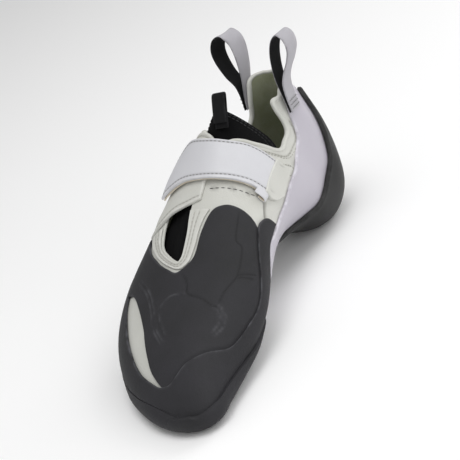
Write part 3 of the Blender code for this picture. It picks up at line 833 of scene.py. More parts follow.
@dataclass
class Wall:
    """A closed wall between two grids of points."""

    name: str
    outer: np.ndarray
    inner: np.ndarray
    finish: Finish
    back: Finish | None = None
    # Scuffed edges and the painted highlight on raised lines, one value for each point.
    edge: np.ndarray | None = None
    # Painted shade of sunk lines, one value for each point.
    line: np.ndarray | None = None

    def build(self) -> bpy.types.Object:
        """Make the mesh from a grid, extruded from its inner to its outer points.

        Returns:
            The new object, at the origin and with its normals outwards.
        """
        rows, columns = self.outer.shape[:2]
        zero = np.zeros((rows, columns))
        edge = zero if self.edge is None else self.edge
        line = zero if self.line is None else self.line
        along, across = run_lengths(self.outer, 0), run_lengths(self.outer, 1)
        shell = bmesh.new()
        bmesh.ops.create_grid(shell, x_segments=columns - 1, y_segments=rows - 1, size=0.5)
        row_of, column_of = shell.verts.layers.int.new("row"), shell.verts.layers.int.new("column")
        edge_of, line_of = shell.verts.layers.float.new("edge"), shell.verts.layers.float.new("line")
        surface = shell.loops.layers.uv.new("surface")
        for vert in shell.verts:
            i, j = round((vert.co.y + 0.5) * (rows - 1)), round((vert.co.x + 0.5) * (columns - 1))
            vert[row_of], vert[column_of] = i, j
            vert[edge_of], vert[line_of] = edge[i, j], line[i, j]
            vert.co = self.inner[i, j]
        for face in shell.faces:
            for loop in face.loops:
                i, j = loop.vert[row_of], loop.vert[column_of]
                loop[surface].uv = (along[i, columns // 2], across[i, j])
        bmesh.ops.remove_doubles(shell, verts=shell.verts[:], dist=2e-6)
        raised = bmesh.ops.extrude_face_region(shell, geom=shell.faces[:])
        tops = {item for item in raised["geom"] if isinstance(item, bmesh.types.BMVert)}
        for vert in tops:
            vert.co = self.outer[vert[row_of], vert[column_of]]
        for face in shell.faces:
            face.smooth = True
            if self.back is not None and not any(vert in tops for vert in face.verts):
                face.material_index = 1
        bmesh.ops.dissolve_degenerate(shell, edges=shell.edges[:], dist=1e-7)
        bmesh.ops.recalc_face_normals(shell, faces=shell.faces[:])
        shell.verts.layers.int.remove(shell.verts.layers.int["row"])
        shell.verts.layers.int.remove(shell.verts.layers.int["column"])
        return finished(self.name, shell, [self.finish] + ([self.back] if self.back else []))


def finished(name: str, shape: bmesh.types.BMesh, finishes: Sequence[Finish],
             sharp: float = 50.0) -> bpy.types.Object:
    """Turn a shape into an object of the scene.

    Args:
        name: the object's name.
        shape: the shape, which is freed.
        finishes: its finishes, in the order of its faces' numbers.
        sharp: angle in degrees past which an edge stays sharp.

    Returns:
        The object.
    """
    mesh = bpy.data.meshes.new(name)
    shape.to_mesh(mesh)
    shape.free()
    mesh.set_sharp_from_angle(angle=math.radians(sharp))
    for finish in finishes:
        mesh.materials.append(finish.make())
    made = bpy.data.objects.new(name, mesh)
    bpy.context.scene.collection.objects.link(made)
    return made


def settle(piece: bpy.types.Object, slot: str, *nodes: str) -> None:
    """Let a piece ride on the shoe and stand for its solids.

    Args:
        piece: the piece.
        slot: not used.
        nodes: the solids that it stands for, if any.
    """
    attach(piece, "root")
    if nodes:
        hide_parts(*nodes)
    LOG.info("%s: %d faces", piece.name, len(piece.data.polygons))


def inside_edges(station: np.ndarray, degrees: np.ndarray, free: Sides) -> np.ndarray:
    """Measure how far the places of a grid lie inside its free edges.

    Args:
        station: the grid's stations.
        degrees: the grid's angles.
        free: which of its sides are free edges.

    Returns:
        The distance to the nearest free edge.
    """
    points = LAST.place(station, degrees, 0.0)
    along, across = run_lengths(points, 0), run_lengths(points, 1)
    far = np.full(station.shape, 1.0)
    if free.first_row:
        far = np.minimum(far, along)
    if free.last_row:
        far = np.minimum(far, along[-1:] - along)
    if free.first_column:
        far = np.minimum(far, across)
    if free.last_column:
        far = np.minimum(far, across[:, -1:] - across)
    return far


@dataclass(frozen=True)
class Groove:
    """A line pressed into a layer, or raised on it where its depth is below 0."""

    path: np.ndarray
    depth: float
    width: float
    # Share of the groove colour that the line takes: a painted shade.
    tone: float
    # How fast it deepens from its ends, and its share of the depth there.
    ends: tuple[float, float] = (6.0, 0.25)

    def press(self, points: np.ndarray) -> np.ndarray:
        """Give how strongly the groove marks points.

        Args:
            points: points of the layer.

        Returns:
            Its share of the full depth at each point.
        """
        away, where = near_lines(points, self.path)
        rise, start = self.ends
        return np.exp(-(away / self.width) ** 2) * np.clip(np.sin(np.pi * where) * rise + start, 0, 1)


@dataclass
class Layer:
    """A layer on the last: its grid of places, its heights and how its edges are finished."""

    name: str
    station: np.ndarray
    degrees: np.ndarray
    low: np.ndarray | float
    high: np.ndarray | float
    finish: Finish
    back: Finish | None = None
    radius: float = 0.0006
    free: Sides = field(default_factory=Sides)
    folds: bool = False
    grooves: Sequence[Groove] = ()
    bead: float = 0.0
    bead_place: float = 0.0011
    bead_width: float = 0.0005
    rub: float = 0.0012
    # The most that a rounded edge takes of the thickness, and how strongly a raised line takes the scuffed
    # colour as a painted highlight.
    edge_share: float = 0.8
    raised_highlight: float = 0.9

    def build(self) -> bpy.types.Object:
        """Lay the grid on the last and give it its thickness, folds, grooves and rounded edges.

        Returns:
            The layer's object.
        """
        far = inside_edges(self.station, self.degrees, self.free)
        low = np.broadcast_to(np.asarray(self.low, float), self.station.shape).copy()
        high = np.broadcast_to(np.asarray(self.high, float), self.station.shape).copy()
        if self.folds:
            lift = relief(self.station, self.degrees)
            low, high = low + lift, high + lift
        high = high - np.minimum(rounded(far, self.radius), (high - low) * self.edge_share)
        if self.bead:
            high = high + self.bead * np.exp(-((far - self.bead_place) / self.bead_width) ** 2)
        # Mask of the painted shade in grooves.
        line = np.zeros(self.station.shape)
        points = LAST.place(self.station, self.degrees, high)
        edge = np.exp(-(far / self.rub) ** 2)
        for groove in self.grooves:
            mark = groove.press(points)
            high = high - groove.depth * mark
            line = np.maximum(line, mark * groove.tone)
            # Raised lines take the scuffed colour: a painted highlight.
            if groove.depth < 0:
                edge = np.maximum(edge, self.raised_highlight * mark)
        return Wall(self.name, LAST.place(self.station, self.degrees, high),
                    LAST.place(self.station, self.degrees, low), self.finish, self.back, edge, line).build()


@dataclass(frozen=True)
class Paired:
    """A strip whose two long edges are given in pairs of places."""

    table: Table

    def at(self, row: np.ndarray, share: np.ndarray | float) -> tuple[np.ndarray, np.ndarray, np.ndarray]:
        """Read places between the two edges.

        Args:
            row: places along the strip, counted in the table's rows.
            share: 0 on the first edge, 1 on the second.

        Returns:
            Stations, degrees and the strip's own height, which is 0 where it has none.
        """
        edge = smooth(self.table, np.asarray(row, float).ravel()).reshape(np.shape(row) + (-1,))
        station = edge[..., 0] + (edge[..., 2] - edge[..., 0]) * share
        degrees = edge[..., 1] + (edge[..., 3] - edge[..., 1]) * share
        return station, degrees, edge[..., 4] if edge.shape[-1] > 4 else np.zeros(station.shape)

    def grid(self, rows: int, columns: int,
             reach: Table = ((0, 0.0, 0.0),)) -> tuple[np.ndarray, np.ndarray, np.ndarray]:
        """Give a grid of places over the whole strip.

        Args:
            rows: places along the strip.
            columns: places across it.
            reach: shares by which it passes its first and its second edge, each after its row.

        Returns:
            Stations, degrees and the strip's own height.
        """
        row, share = np.meshgrid(crowd(rows, 0.5) * (len(self.table) - 1), crowd(columns), indexing="ij")
        at, first, second = (np.array(column, float) for column in zip(*reach))
        below, above = np.interp(row, at, first), np.interp(row, at, second)
        return self.at(row, share * (1 + above + below) - below)

    def line(self, share: float, height: float, start: float = 0.0,
             stop: float = 1.0) -> tuple[np.ndarray, np.ndarray]:
        """Lay a line along the strip.

        Args:
            share: 0 on the strip's first edge, 1 on its second.
            height: height above the strip's own.
            start: share of the strip's length where the line starts.
            stop: share where it stops.

        Returns:
            The line's points and the outward direction at each.
        """
        row = np.linspace(start, stop, 90) * (len(self.table) - 1)
        station, degrees, own = self.at(row, share)
        return laid(station, degrees, own + height)


def belt(rows: np.ndarray, columns: int, even: float = 0.6) -> tuple[np.ndarray, np.ndarray]:
    """Give a grid from the outer edge, under the foot, to the inner edge.

    Args:
        rows: station, medial and lateral angle of each row.
        columns: number of places in a row.
        even: crowding of the places towards the edges.

    Returns:
        Stations and degrees.
    """
    share = crowd(columns, even)[None, :]
    start, stop = rows[:, 2:3], rows[:, 1:2] + 360
    return np.broadcast_to(rows[:, :1], (len(rows), columns)), start + (stop - start) * share


@dataclass
class Stitching:
    """Rows of stitches in one thread."""

    name: str
    finish: Finish
    length: float = 0.0020
    pitch: float = 0.0027
    radius: float = 0.00030
    shape: bmesh.types.BMesh = field(default_factory=bmesh.new)

    def run(self, points: np.ndarray, outward: np.ndarray) -> None:
        """Sew one row of stitches.

        Args:
            points: the row's path on the surface.
            outward: the surface's direction at each point.
        """
        steps = np.linalg.norm(np.diff(points, axis=0), axis=1)
        length = np.concatenate([[0], np.cumsum(steps)])
        for middle in np.arange(self.pitch / 2, length[-1], self.pitch):
            at, ahead, behind = (np.array([np.interp(v, length, points[:, k]) for k in range(3)])
                                 for v in (middle, middle + self.length / 2, middle - self.length / 2))
            up = np.array([np.interp(middle, length, outward[:, k]) for k in range(3)])
            way = unit(ahead - behind)
            side = unit(np.cross(up, way))
            up = np.cross(way, side)
            frame = Matrix(np.column_stack([side * self.radius, up * self.radius * 0.8,
                                            way * self.length / 2]).tolist()).to_4x4()
            frame.translation = Vector(at)
            bmesh.ops.create_uvsphere(self.shape, u_segments=6, v_segments=5, radius=1.0, matrix=frame)

    def build(self) -> bpy.types.Object:
        """Make the object that holds every row.

        Returns:
            The object.
        """
        for face in self.shape.faces:
            face.smooth = True
        bmesh.ops.recalc_face_normals(self.shape, faces=self.shape.faces[:])
        return finished(self.name, self.shape, [self.finish], 180.0)


def ribbon(name: str, path: np.ndarray, width: np.ndarray, thickness: float, finish: Finish,
           back: Finish | None = None, columns: int = 13) -> bpy.types.Object:
    """Build webbing along a path.

    Args:
        name: the object's name.
        path: points of the webbing's middle.
        width: the webbing's width as a vector, or one for each point.
        thickness: its thickness.
        finish: finish of its outer face.
        back: finish of its inner face.
        columns: points across it.

    Returns:
        The object.
    """
    width = np.broadcast_to(np.asarray(width, float), path.shape)
    tangent = unit(np.gradient(path, axis=0))
    side = width - tangent * np.einsum("ij,ij->i", width, tangent)[:, None]
    side *= (np.linalg.norm(width, axis=1) / np.linalg.norm(side, axis=1))[:, None]
    normal = unit(np.cross(tangent, side))
    share = crowd(columns, 0.6) - 0.5
    middle = path[:, None] + side[:, None] * share[None, :, None]
    half = thickness / 2 * (1 - 0.75 * np.abs(share * 2) ** 7)
    away = normal[:, None] * half[None, :, None]
    edge = np.broadcast_to(np.clip((np.abs(share) * 2 - 0.78) * 5, 0, 1), middle.shape[:2])
    return Wall(name, middle + away, middle - away, finish, back, edge).build()


def tube(name: str, path: np.ndarray, radius: np.ndarray, finish: Finish,
         sides: int = 14) -> bpy.types.Object:
    """Build a closed round welt along a closed path.

    Args:
        name: the object's name.
        path: the welt's middle, whose last point is its first.
        radius: its radius at each point.
        finish: its finish.
        sides: points round it.

    Returns:
        The object.
    """
    ring = bmesh.new()
    rows = len(path) - 1
    tangent = unit(np.roll(path[:-1], -1, axis=0) - np.roll(path[:-1], 1, axis=0))
    across = unit(np.cross(tangent, (0.05, -0.4, 1.0)))
    up = np.cross(across, tangent)
    bmesh.ops.create_grid(ring, x_segments=sides, y_segments=rows, size=0.5)
    for vert in ring.verts:
        i = round((vert.co.y + 0.5) * rows) % rows
        turn = (round((vert.co.x + 0.5) * sides) % sides) * 2 * math.pi / sides
        vert.co = path[i] + radius[i] * (across[i] * math.cos(turn) + up[i] * math.sin(turn))
    bmesh.ops.remove_doubles(ring, verts=ring.verts[:], dist=1e-6)
    for face in ring.faces:
        face.smooth = True
    bmesh.ops.recalc_face_normals(ring, faces=ring.faces[:])
    return finished(name, ring, [finish], 180.0)


def on_last_line(places: Table, height: float, count: int = 60) -> tuple[np.ndarray, np.ndarray]:
    """Lay a smooth line through places on the last.

    Args:
        places: station and angle of each place.
        height: the line's height off the last.
        count: number of points in the line.

    Returns:
        The line's points and the outward direction at each.
    """
    read = through(places, count)
    return laid(read[:, 0], read[:, 1], height)


# Sub-assemblies

@dataclass
class Upper:
    """The synthetic upper with its slit, its padded collar and its inside."""

    wall: float = 0.0018
    opening: Table = (
        (6.00, 101, 101), (6.06, 95.5, 108), (6.20, 94, 117), (6.45, 93.5, 128), (6.80, 94, 134),
        (7.50, 97, 136), (8.20, 92, 126), (9.00, 84, 113), (9.60, 77, 100), (9.95, 71, 97),
        (10.20, 66, 103), (10.55, 62, 118), (11.2, 56, 126), (12.2, 60, 127), (13.3, 62, 131),
        (14.0, 65, 142), (14.6, 61, 162), (15.2, 42, 188), (15.8, 16, 208), (16.4, -26, 228),
        (16.9, -50, 240), (17.2, -66, 250), (17.35, -78, 260),
    )
    # Radius of the rolled rim at stations: fine round the slit, full round the collar, fine at the heel.
    rim: Table = ((6.0, 0.0009), (9.2, 0.0009), (10.2, 0.0016), (16.6, 0.0016), (17.35, 0.0011))
    # The two rows of stitches below the collar, in degrees inside its rim.
    collar_rows: tuple[float, float] = (7.0, 9.5)
    # Top seam of the vamp under the strap, and the small dart at its inner end, read off the photograph,
    # in pixels from its top left.
    vamp_top: Table = ((208, 188), (220, 187), (233, 188), (250, 193), (261, 197))
    dart: Table = ((265.5, 202), (266, 206), (266.5, 211), (267, 217), (267, 221))

    def rows(self) -> np.ndarray:
        """Give the rows of the upper from the toe to the top of the heel."""
        toe = np.array([(s, 101.0, 101.0) for s in np.linspace(0, 5.93, 56)])
        return np.vstack([toe, through(self.opening, 133)])

    def build_wall(self) -> bpy.types.Object:
        """Build the wall, with grooves beside its seams.

        Returns:
            The wall's object.
        """
        station, degrees = belt(self.rows(), 118, 0.75)
        free = Sides(False, True, False, False)
        # The seam grooves are darkened with painted shade, most in the dart.
        grooves = [Groove(self.collar_line(self.collar_rows[0])[0], 0.00030, 0.0007, 0.3),
                   Groove(on_last_line(CAMERA.under(self.vamp_top), 0.0)[0], 0.00045, 0.0005, 0.55),
                   Groove(on_last_line(CAMERA.under(self.dart), 0.0)[0], 0.00120, 0.0010, 1.0)]
        return Layer("upper_wall", station, degrees, -self.wall, 0.0, LEATHER, LINING_GREY, radius=0.0005,
                     free=free, folds=True, grooves=grooves).build()

    def collar_line(self, inside: float) -> tuple[np.ndarray, np.ndarray]:
        """Lay the line that runs below the collar's rim on the inner side.

        Args:
            inside: how many degrees it lies inside the rim.

        Returns:
            The line's points and the outward direction at each.
        """
        rows = smooth(self.opening, np.linspace(8.7, 14.6, 90))
        return laid(rows[:, 0], rows[:, 1] - inside, 0.0001)

    def build_rim(self) -> bpy.types.Object:
        """Build the rolled rim along the whole opening.

        Returns:
            The rim's object.
        """
        rows = through(self.opening, 190)
        back = np.linspace(rows[-1, 1], rows[-1, 2] - 360, 9)[1:-1]
        station = np.concatenate([rows[:, 0], np.full(len(back), rows[-1, 0]), rows[::-1, 0]])
        degrees = np.concatenate([rows[:, 1], back, rows[::-1, 2]])
        path = LAST.place(station, degrees, -self.wall / 2 + relief(station, degrees))
        radius = np.interp(station, *zip(*self.rim))
        return tube("collar_rim", path, radius, LEATHER)

    def build(self) -> None:
        """Build the upper's pieces."""
        settle(self.build_wall(), "synthetic", "upper")
        settle(self.build_rim(), "synthetic")
        seams = Stitching("collar_stitches", PALE_THREAD)
        for inside in self.collar_rows:
            seams.run(*self.collar_line(inside))
        settle(seams.build(), "synthetic")
        dark = Stitching("vamp_top_stitches", DARK_THREAD, length=0.0024, pitch=0.0035, radius=0.00022)
        dark.run(*on_last_line(CAMERA.under(self.vamp_top), 0.0001))
        settle(dark.build(), "synthetic")


@dataclass
class Rubber:
    """The black rubber: sole, toe rand, toe patch and the heel's rubber."""

    gap: float = 0.0003
    sole: float = 0.0042
    # The sole's share of its thickness at the arch, and how much and how far its edge thins on the big-toe
    # side and on the little-toe side.
    arch_share: float = 0.5
    thinned: tuple[float, float] = (0.24, 0.52)
    thinned_reach: tuple[float, float] = (0.0018, 0.0048)
    rand: float = 0.0016
    patch: float = 0.0012
    heel_rand: float = 0.0013
    heel: float = 0.0026
    sole_edge: Table = (
        (0.55, 90, 90), (0.60, 56, 121), (0.72, 30, 142), (1.0, 12, 158), (2.0, 7, 172), (3.0, 2, 178),
        (4.3, -6, 184), (5.3, -11, 188), (6.0, -16, 191), (6.8, -32, 200))
    toe_patch: Table = (
        (7.46, 17.4, 7.48, 22), (6.42, 7, 7.57, 31), (5.70, 2, 7.60, 43), (5.04, 5, 7.54, 56),
        (4.02, 15, 7.30, 68), (3.47, 45, 6.74, 73.6), (2.98, 75, 6.07, 76.5), (2.54, 100, 5.70, 97),
        (2.30, 124, 5.82, 113), (2.30, 139, 6.02, 125.5), (2.80, 144, 6.22, 133.5), (3.49, 140, 6.40, 140),
        (4.29, 142, 6.60, 145), (5.14, 150, 6.80, 149), (5.70, 160, 7.00, 151), (6.30, 164, 7.10, 153),
        (7.00, 165, 7.14, 156))
    toe_rand: Table = (
        (8.17, -2, 8.17, -1.5), (7.80, 1, 7.98, 11), (7.40, 3, 7.72, 17), (6.95, -2, 7.46, 18.5),
        (6.60, -10, 6.95, 14), (6.10, -11, 6.40, 9), (5.30, -8, 5.66, 4.2), (4.30, -3, 5.00, 7),
        (3.00, 5, 4.00, 16), (2.00, 10, 3.41, 43), (1.00, 16, 2.93, 73), (0.76, 34, 2.66, 88),
        (0.64, 62, 2.48, 100), (0.61, 90, 2.32, 112), (0.64, 116, 2.24, 124), (0.76, 138, 2.22, 136),
        (1.00, 154, 2.28, 146), (2.00, 168.5, 2.66, 155), (3.00, 174.5, 3.06, 158), (3.70, 178, 3.70, 159),
        (4.47, 181, 4.47, 160), (5.20, 184, 5.19, 162), (5.72, 186.5, 5.74, 162.5),
        (6.30, 188.5, 6.32, 166.2), (7.00, 189.5, 7.02, 167.2), (7.60, 188, 7.30, 168))
    heel_edge: Table = (
        (7.7, -62, 242), (8.3, -56, 236), (9.0, -53, 233), (9.8, -45, 225), (10.4, -38, 218),
        (11.2, -26, 206), (12.0, -15, 195), (12.7, -7, 187), (13.4, -9, 189), (14.2, -20, 200),
        (15.0, -33, 213), (15.8, -46, 226), (16.3, -62, 242))
    # How far the patch slips under the rand, and the rand under the sole's edge: a row of the strip, then
    # the shares of its width by which it passes its first and its second edge.
    patch_reach: Table = ((0, 0.0, 0.0), (3, 0.0, 0.0), (4.5, 0.055, 0.0), (8, 0.055, 0.0), (9.4, 0.0, 0.0),
                          (13.6, 0.0, 0.0), (14.6, 0.25, 0.0), (16, 0.6, 0.0))
    rand_reach: Table = ((0, 0.2, 0.0), (1, 0.20, 0.0), (5, 0.14, 0.0), (8, 0.22, 0.0), (12, 0.10, 0.0),
                         (16, 0.12, 0.0), (18, 0.25, 0.0), (25, 0.25, 0.0))
    # Moulded lines of the toe patch, sunk and faintly raised, read off the photograph, in pixels
    # from its top left.
    lines: tuple[Table, ...] = (
        ((239, 213), (236, 240), (242, 249), (238, 274), (233, 282), (225, 291), (217, 306), (212, 306),
         (202, 299), (188, 294), (187, 282), (182, 273)),
        ((239, 275), (256, 276)), ((238, 278), (253, 280)))
    faint_lines: tuple[Table, ...] = (
        ((142, 281), (151, 295), (155, 314), (157, 330), (164, 343)),
        ((140, 284), (148, 297), (152, 315), (154, 331), (161, 345)),
        ((188, 294), (171, 297), (161, 308), (160, 319), (166, 336)),
        ((213, 307), (219, 315), (219, 324), (211, 334)),
        ((217, 303), (224, 313), (224, 326), (214, 338)))
    # Depth, width and darkness of each kind of line; the darkness is a painted shade in sunk lines.
    sunk_line: tuple[float, float, float] = (0.00042, 0.00050, 0.9)
    raised_line: tuple[float, float, float] = (-0.00036, 0.00070, 0.0)

    def build_sole(self) -> bpy.types.Object:
        """Build the sole under the toes, which rolls up over the toe tip.

        Its edge thins towards the rand, and more so at the toe tip and on the little-toe side.

        Returns:
            The sole's object.
        """
        toe = np.array([(s, 90.0, 90.0) for s in np.linspace(0, 0.54, 14)])
        rows = np.vstack([toe, through(self.sole_edge, 92)])
        station, degrees = belt(rows, 96, 0.7)
        thick = np.interp(station, (5.8, 6.8), (self.sole, self.sole * self.arch_share))
        inside = inside_edges(station, degrees, Sides(False, True, True, True))
        opened = np.clip((station - 0.5) / 0.12, 0, 1)
        outer = np.clip(((degrees + 90) % 360 - 110) / 60, 0, 1)
        thinned, reach = (low + (high - low) * outer for low, high in (self.thinned, self.thinned_reach))
        high = thick * (1 - thinned * opened * np.exp(-(inside / reach) ** 2))
        return Layer("toe_sole", station, degrees, 2 * self.gap, high, RUBBER, radius=0.0008,
                     free=Sides(False, True, False, False), rub=0.003).build()

    def build_rand(self) -> bpy.types.Object:
        """Build the rand that wraps the toe.

        Returns:
            The rand's object.
        """
        station, degrees, _ = Paired(self.toe_rand).grid(230, 46, self.rand_reach)
        return Layer("toe_rand_rubber", station, degrees, 2 * self.gap, self.rand, RUBBER, radius=0.0006,
                     rub=0.0010).build()

    def build_patch(self) -> bpy.types.Object:
        """Build the toe patch with its moulded lines, sunk where it slips under the rand.

        Returns:
            The patch's object.
        """
        station, degrees, _ = Paired(self.toe_patch).grid(210, 150, self.patch_reach)
        # Sunk lines darken with painted shade; raised lines take a painted highlight.
        grooves = [Groove(on_last_line(CAMERA.under(line), self.patch, 50)[0], *self.sunk_line)
                   for line in self.lines]
        grooves += [Groove(on_last_line(CAMERA.under(line), self.patch, 50)[0], *self.raised_line)
                    for line in self.faint_lines]
        # Trough where the patch slips under the rand, darkened with painted shade.
        rand = smooth(self.toe_rand, np.linspace(1, 13.2, 90))
        grooves.append(Groove(LAST.place(rand[:, 2], rand[:, 3], self.patch), 0.00075, 0.0016, 0.25))
        return Layer("toe_patch_rubber", station, degrees, 1.8 * self.gap, self.patch + self.gap, RUBBER,
                     radius=0.0005, grooves=grooves, rub=0.0010).build()

    def build_heel(self) -> bpy.types.Object:
        """Build the dark rubber of the heel and the arch.

        Returns:
            The heel's object.
        """
        station, degrees = belt(through(self.heel_edge, 130), 84, 0.7)
        low = self.heel_rand + 2.5 * self.gap
        return Layer("heel_rubber", station, degrees, low, low + self.heel, HEEL_RUBBER, radius=0.0016,
                     rub=0.0025).build()

    def build(self) -> None:
        """Build every piece of black rubber."""
        settle(self.build_sole(), "rubber", "outsole")
        settle(self.build_rand(), "rubber", "toe_rand")
        settle(self.build_patch(), "rubber", "toe_patch")
        settle(self.build_heel(), "rubber", "heel_sole")


@dataclass
class HeelRand:
    """The pale rubber that wraps the heel and closes the arch."""

    gap: float = 0.0003
    thickness: float = 0.0013
    edge: Table = (
        (6.86, -14, 194), (7.05, -6, 193), (7.40, 0.5, 192), (7.80, -2.5, 190.5), (8.20, -5, 188),
        (8.60, -4.5, 185), (9.20, -1, 180), (10.1, 17, 160), (11.3, 40, 142), (12.0, 49, 134),
        (12.6, 53, 131), (13.4, 54.5, 132), (14.1, 53, 152), (14.8, 44, 176), (15.4, 26, 200),
        (16.0, 3, 220), (16.4, -22, 236))

    def build(self) -> None:
        """Build the rand with a fine raised edge."""
        station, degrees = belt(through(self.edge, 170), 110, 0.8)
        made = Layer("pale_heel_rand", station, degrees, self.gap, self.gap + self.thickness, PALE_RUBBER,
                     radius=0.0006, bead=0.00016, rub=0.0012)
        settle(made.build(), "pale_rubber", "heel_rand")


@dataclass
class Panels:
    """The stitched panels: binding round the slit, outer quarter flap and inner anchor."""

    gap: float = 0.0003
    panel: float = 0.0009
    binding: Table = (
        (7.36, 97, 7.36, 71.5), (7.05, 96, 7.12, 75.5), (6.80, 94.6, 6.78, 78), (6.45, 94.2, 6.40, 78.5),
        (6.16, 95, 6.02, 82), (6.03, 98, 5.82, 91), (5.98, 101, 5.79, 99), (6.02, 107, 5.86, 109),
        (6.17, 117, 6.02, 121), (6.42, 128, 6.26, 132), (6.78, 134.5, 6.64, 143), (7.05, 136, 6.98, 149.5),
        (7.16, 137, 7.12, 151))
    flap: Table = (
        (7.62, 86, 9.46, 85), (7.56, 93, 9.76, 91), (7.50, 102, 9.96, 98), (7.46, 113, 9.90, 105),
        (7.40, 126, 9.62, 114), (7.26, 143, 9.40, 128), (7.24, 156, 9.20, 145), (7.40, 165, 9.0, 160),
        (7.70, 176, 8.80, 174))
    anchor: Table = (
        (8.50, 27.5, 10.05, 47), (8.56, 18, 10.3, 40), (8.80, 9, 10.5, 36), (9.20, 3, 10.7, 33.5))
    # Box of stitches above the anchor, read off the photograph, in pixels from its top left.
    box: Table = ((280, 163), (294, 166), (293, 175), (279, 172), (280, 163))

    # Rows of stitches as shares across their panels; the flap's rear row stops part of the way along.
    binding_rows: tuple[float, float] = (0.30, 0.58)
    flap_rows: tuple[float, float] = (0.055, 0.93)
    flap_row_end: float = 0.6
    anchor_rows: tuple[float, float] = (0.12, 0.88)
    flap_height: float = 0.0020
    # The anchor's height, and how much more it has where the strap enters under it.
    anchor_height: float = 0.0014
    anchor_swell: float = 0.0030
    thread_sunk: float = 0.0001

    def build_binding(self) -> None:
        """Build the binding round the slit, with its two sewn channels."""
        binding, top = Paired(self.binding), self.panel + self.gap
        station, degrees, _ = binding.grid(170, 40)
        # The sewn channels are darkened with painted shade.
        grooves = [Groove(binding.line(share, top)[0], 0.00022, 0.0005, 0.35) for share in self.binding_rows]
        settle(Layer("slit_binding_panel", station, degrees, self.gap, top, LEATHER, radius=0.0005,
                     folds=True, grooves=grooves).build(), "synthetic", "slit_binding")

    def build_flap(self) -> None:
        """Build the outer quarter's flap, which closes over the slit."""
        flap, (front, rear) = Paired(self.flap), self.flap_rows
        station, degrees, _ = flap.grid(120, 70)
        rear_row = flap.line(rear, self.flap_height, 0.0, self.flap_row_end)[0]
        # The sewn channels are darkened with painted shade.
        grooves = [Groove(flap.line(front, self.flap_height)[0], 0.00025, 0.0005, 0.35),
                   Groove(rear_row, 0.00020, 0.0005, 0.35)]
        settle(Layer("outer_quarter_flap", station, degrees, self.gap, self.flap_height, LEATHER,
                     radius=0.0007, folds=True, grooves=grooves).build(), "synthetic", "quarter_flap")

    def build_anchor(self) -> None:
        """Build the inner panel that holds the strap's fixed end."""
        anchor = Paired(self.anchor)
        station, degrees, _ = anchor.grid(50, 60)
        inward = np.broadcast_to(np.linspace(0, 1, len(station))[:, None], station.shape)
        high = self.anchor_height + self.anchor_swell * np.exp(-(inward / 0.42) ** 2)
        # The sewn channels are darkened with painted shade.
        grooves = [Groove(anchor.line(share, self.anchor_swell, 0.05, 0.95)[0], 0.00025, 0.0006, 0.3)
                   for share in self.anchor_rows]
        settle(Layer("inner_anchor_panel", station, degrees, self.gap, high, LEATHER, radius=0.0009,
                     grooves=grooves).build(), "synthetic", "strap_anchor")

    def build_seams(self) -> None:
        """Sew the panels."""
        binding, flap, (front, rear) = Paired(self.binding), Paired(self.flap), self.flap_rows
        seams = Stitching("panel_stitches", PALE_THREAD)
        for share in self.binding_rows:
            seams.run(*binding.line(share, self.panel + self.gap - self.thread_sunk, 0.02, 0.98))
        seams.run(*flap.line(rear, self.flap_height - self.thread_sunk, 0.02, self.flap_row_end))
        seams.run(*flap.line(front, self.flap_height - self.thread_sunk, 0.02, 0.95))
        seams.run(*on_last_line(CAMERA.under(self.box), 0.0002, 120))
        settle(seams.build(), "synthetic")

    def build(self) -> None:
        """Build the panels and sew them."""
        self.build_binding()
        self.build_flap()
        self.build_anchor()
        self.build_seams()


@dataclass
class Strap:
    """The hook-and-loop strap with its lining and its folded end."""

    thickness: float = 0.0016
    lining: float = 0.0010
    gap: float = 0.0003
    path: Table = (
        (7.98, 138, 8.86, 127, 0.0036), (8.03, 134, 9.20, 119, 0.0035), (8.10, 122, 9.44, 110, 0.0032),
        (8.15, 108, 9.60, 101, 0.0030), (8.14, 90, 9.52, 88, 0.0030), (8.17, 73, 9.54, 76, 0.0028),
        (8.26, 57, 9.72, 67, 0.0022), (8.38, 42, 9.88, 58, 0.0014), (8.44, 31, 10.0, 50, 0.0008),
        (8.52, 23, 10.1, 44, 0.0002))
    crown: float = 0.0004
    # Rows of stitches as shares across the strap, and where each starts along it.
    rows: Table = ((0.085, 0.03), (0.93, 0.06))
    # The folded end: the angle and height of its path, the stations of its two edges and its thickness.
    fold: Table = ((36, 0.0034), (31, 0.0035), (27, 0.0035), (24, 0.0031), (22.6, 0.0024), (23.2, 0.0017),
                   (26, 0.0013), (30, 0.0012))
    fold_stations: tuple[float, float] = (8.25, 8.52)
    fold_thickness: float = 0.0011

    def build(self) -> None:
        """Build the strap, its lining, its seams and its fold."""
        strap = Paired(self.path)
        station, degrees, own = strap.grid(130, 90)
        lifted = own + self.lining + self.gap
        crown = self.crown * np.broadcast_to(np.sin(np.pi * crowd(90)), station.shape)
        top = self.lining + self.gap + self.thickness
        # The sewn channels are darkened with painted shade.
        grooves = [Groove(strap.line(share, top)[0], 0.00024, 0.0006, 0.45) for share, _ in self.rows]
        settle(Layer("instep_strap", station, degrees, lifted, lifted + self.thickness + crown, STRAP_SKIN,
                     radius=0.0007, grooves=grooves).build(), "strap", "strap")
        station, degrees, own = strap.grid(100, 40)
        settle(Layer("instep_strap_lining", station, degrees, own, own + self.lining, CREAM,
                     radius=0.0004).build(), "lining", "strap_lining")
        seams = Stitching("strap_stitches", GREY_THREAD, length=0.0017, pitch=0.0025)
        for share, start in self.rows:
            seams.run(*strap.line(share, top - 0.0001, start, 0.97))
        settle(seams.build(), "strap")
        self.build_fold()

    def build_fold(self) -> None:
        """Build the strap's end, folded back under itself at the inner side."""
        fine = through(self.fold, 40)
        front, back = (LAST.place(station, fine[:, 0], fine[:, 1]) for station in self.fold_stations)
        settle(ribbon("strap_fold", (front + back) / 2, back - front, self.fold_thickness, STRAP_SKIN,
                      CREAM), "strap")


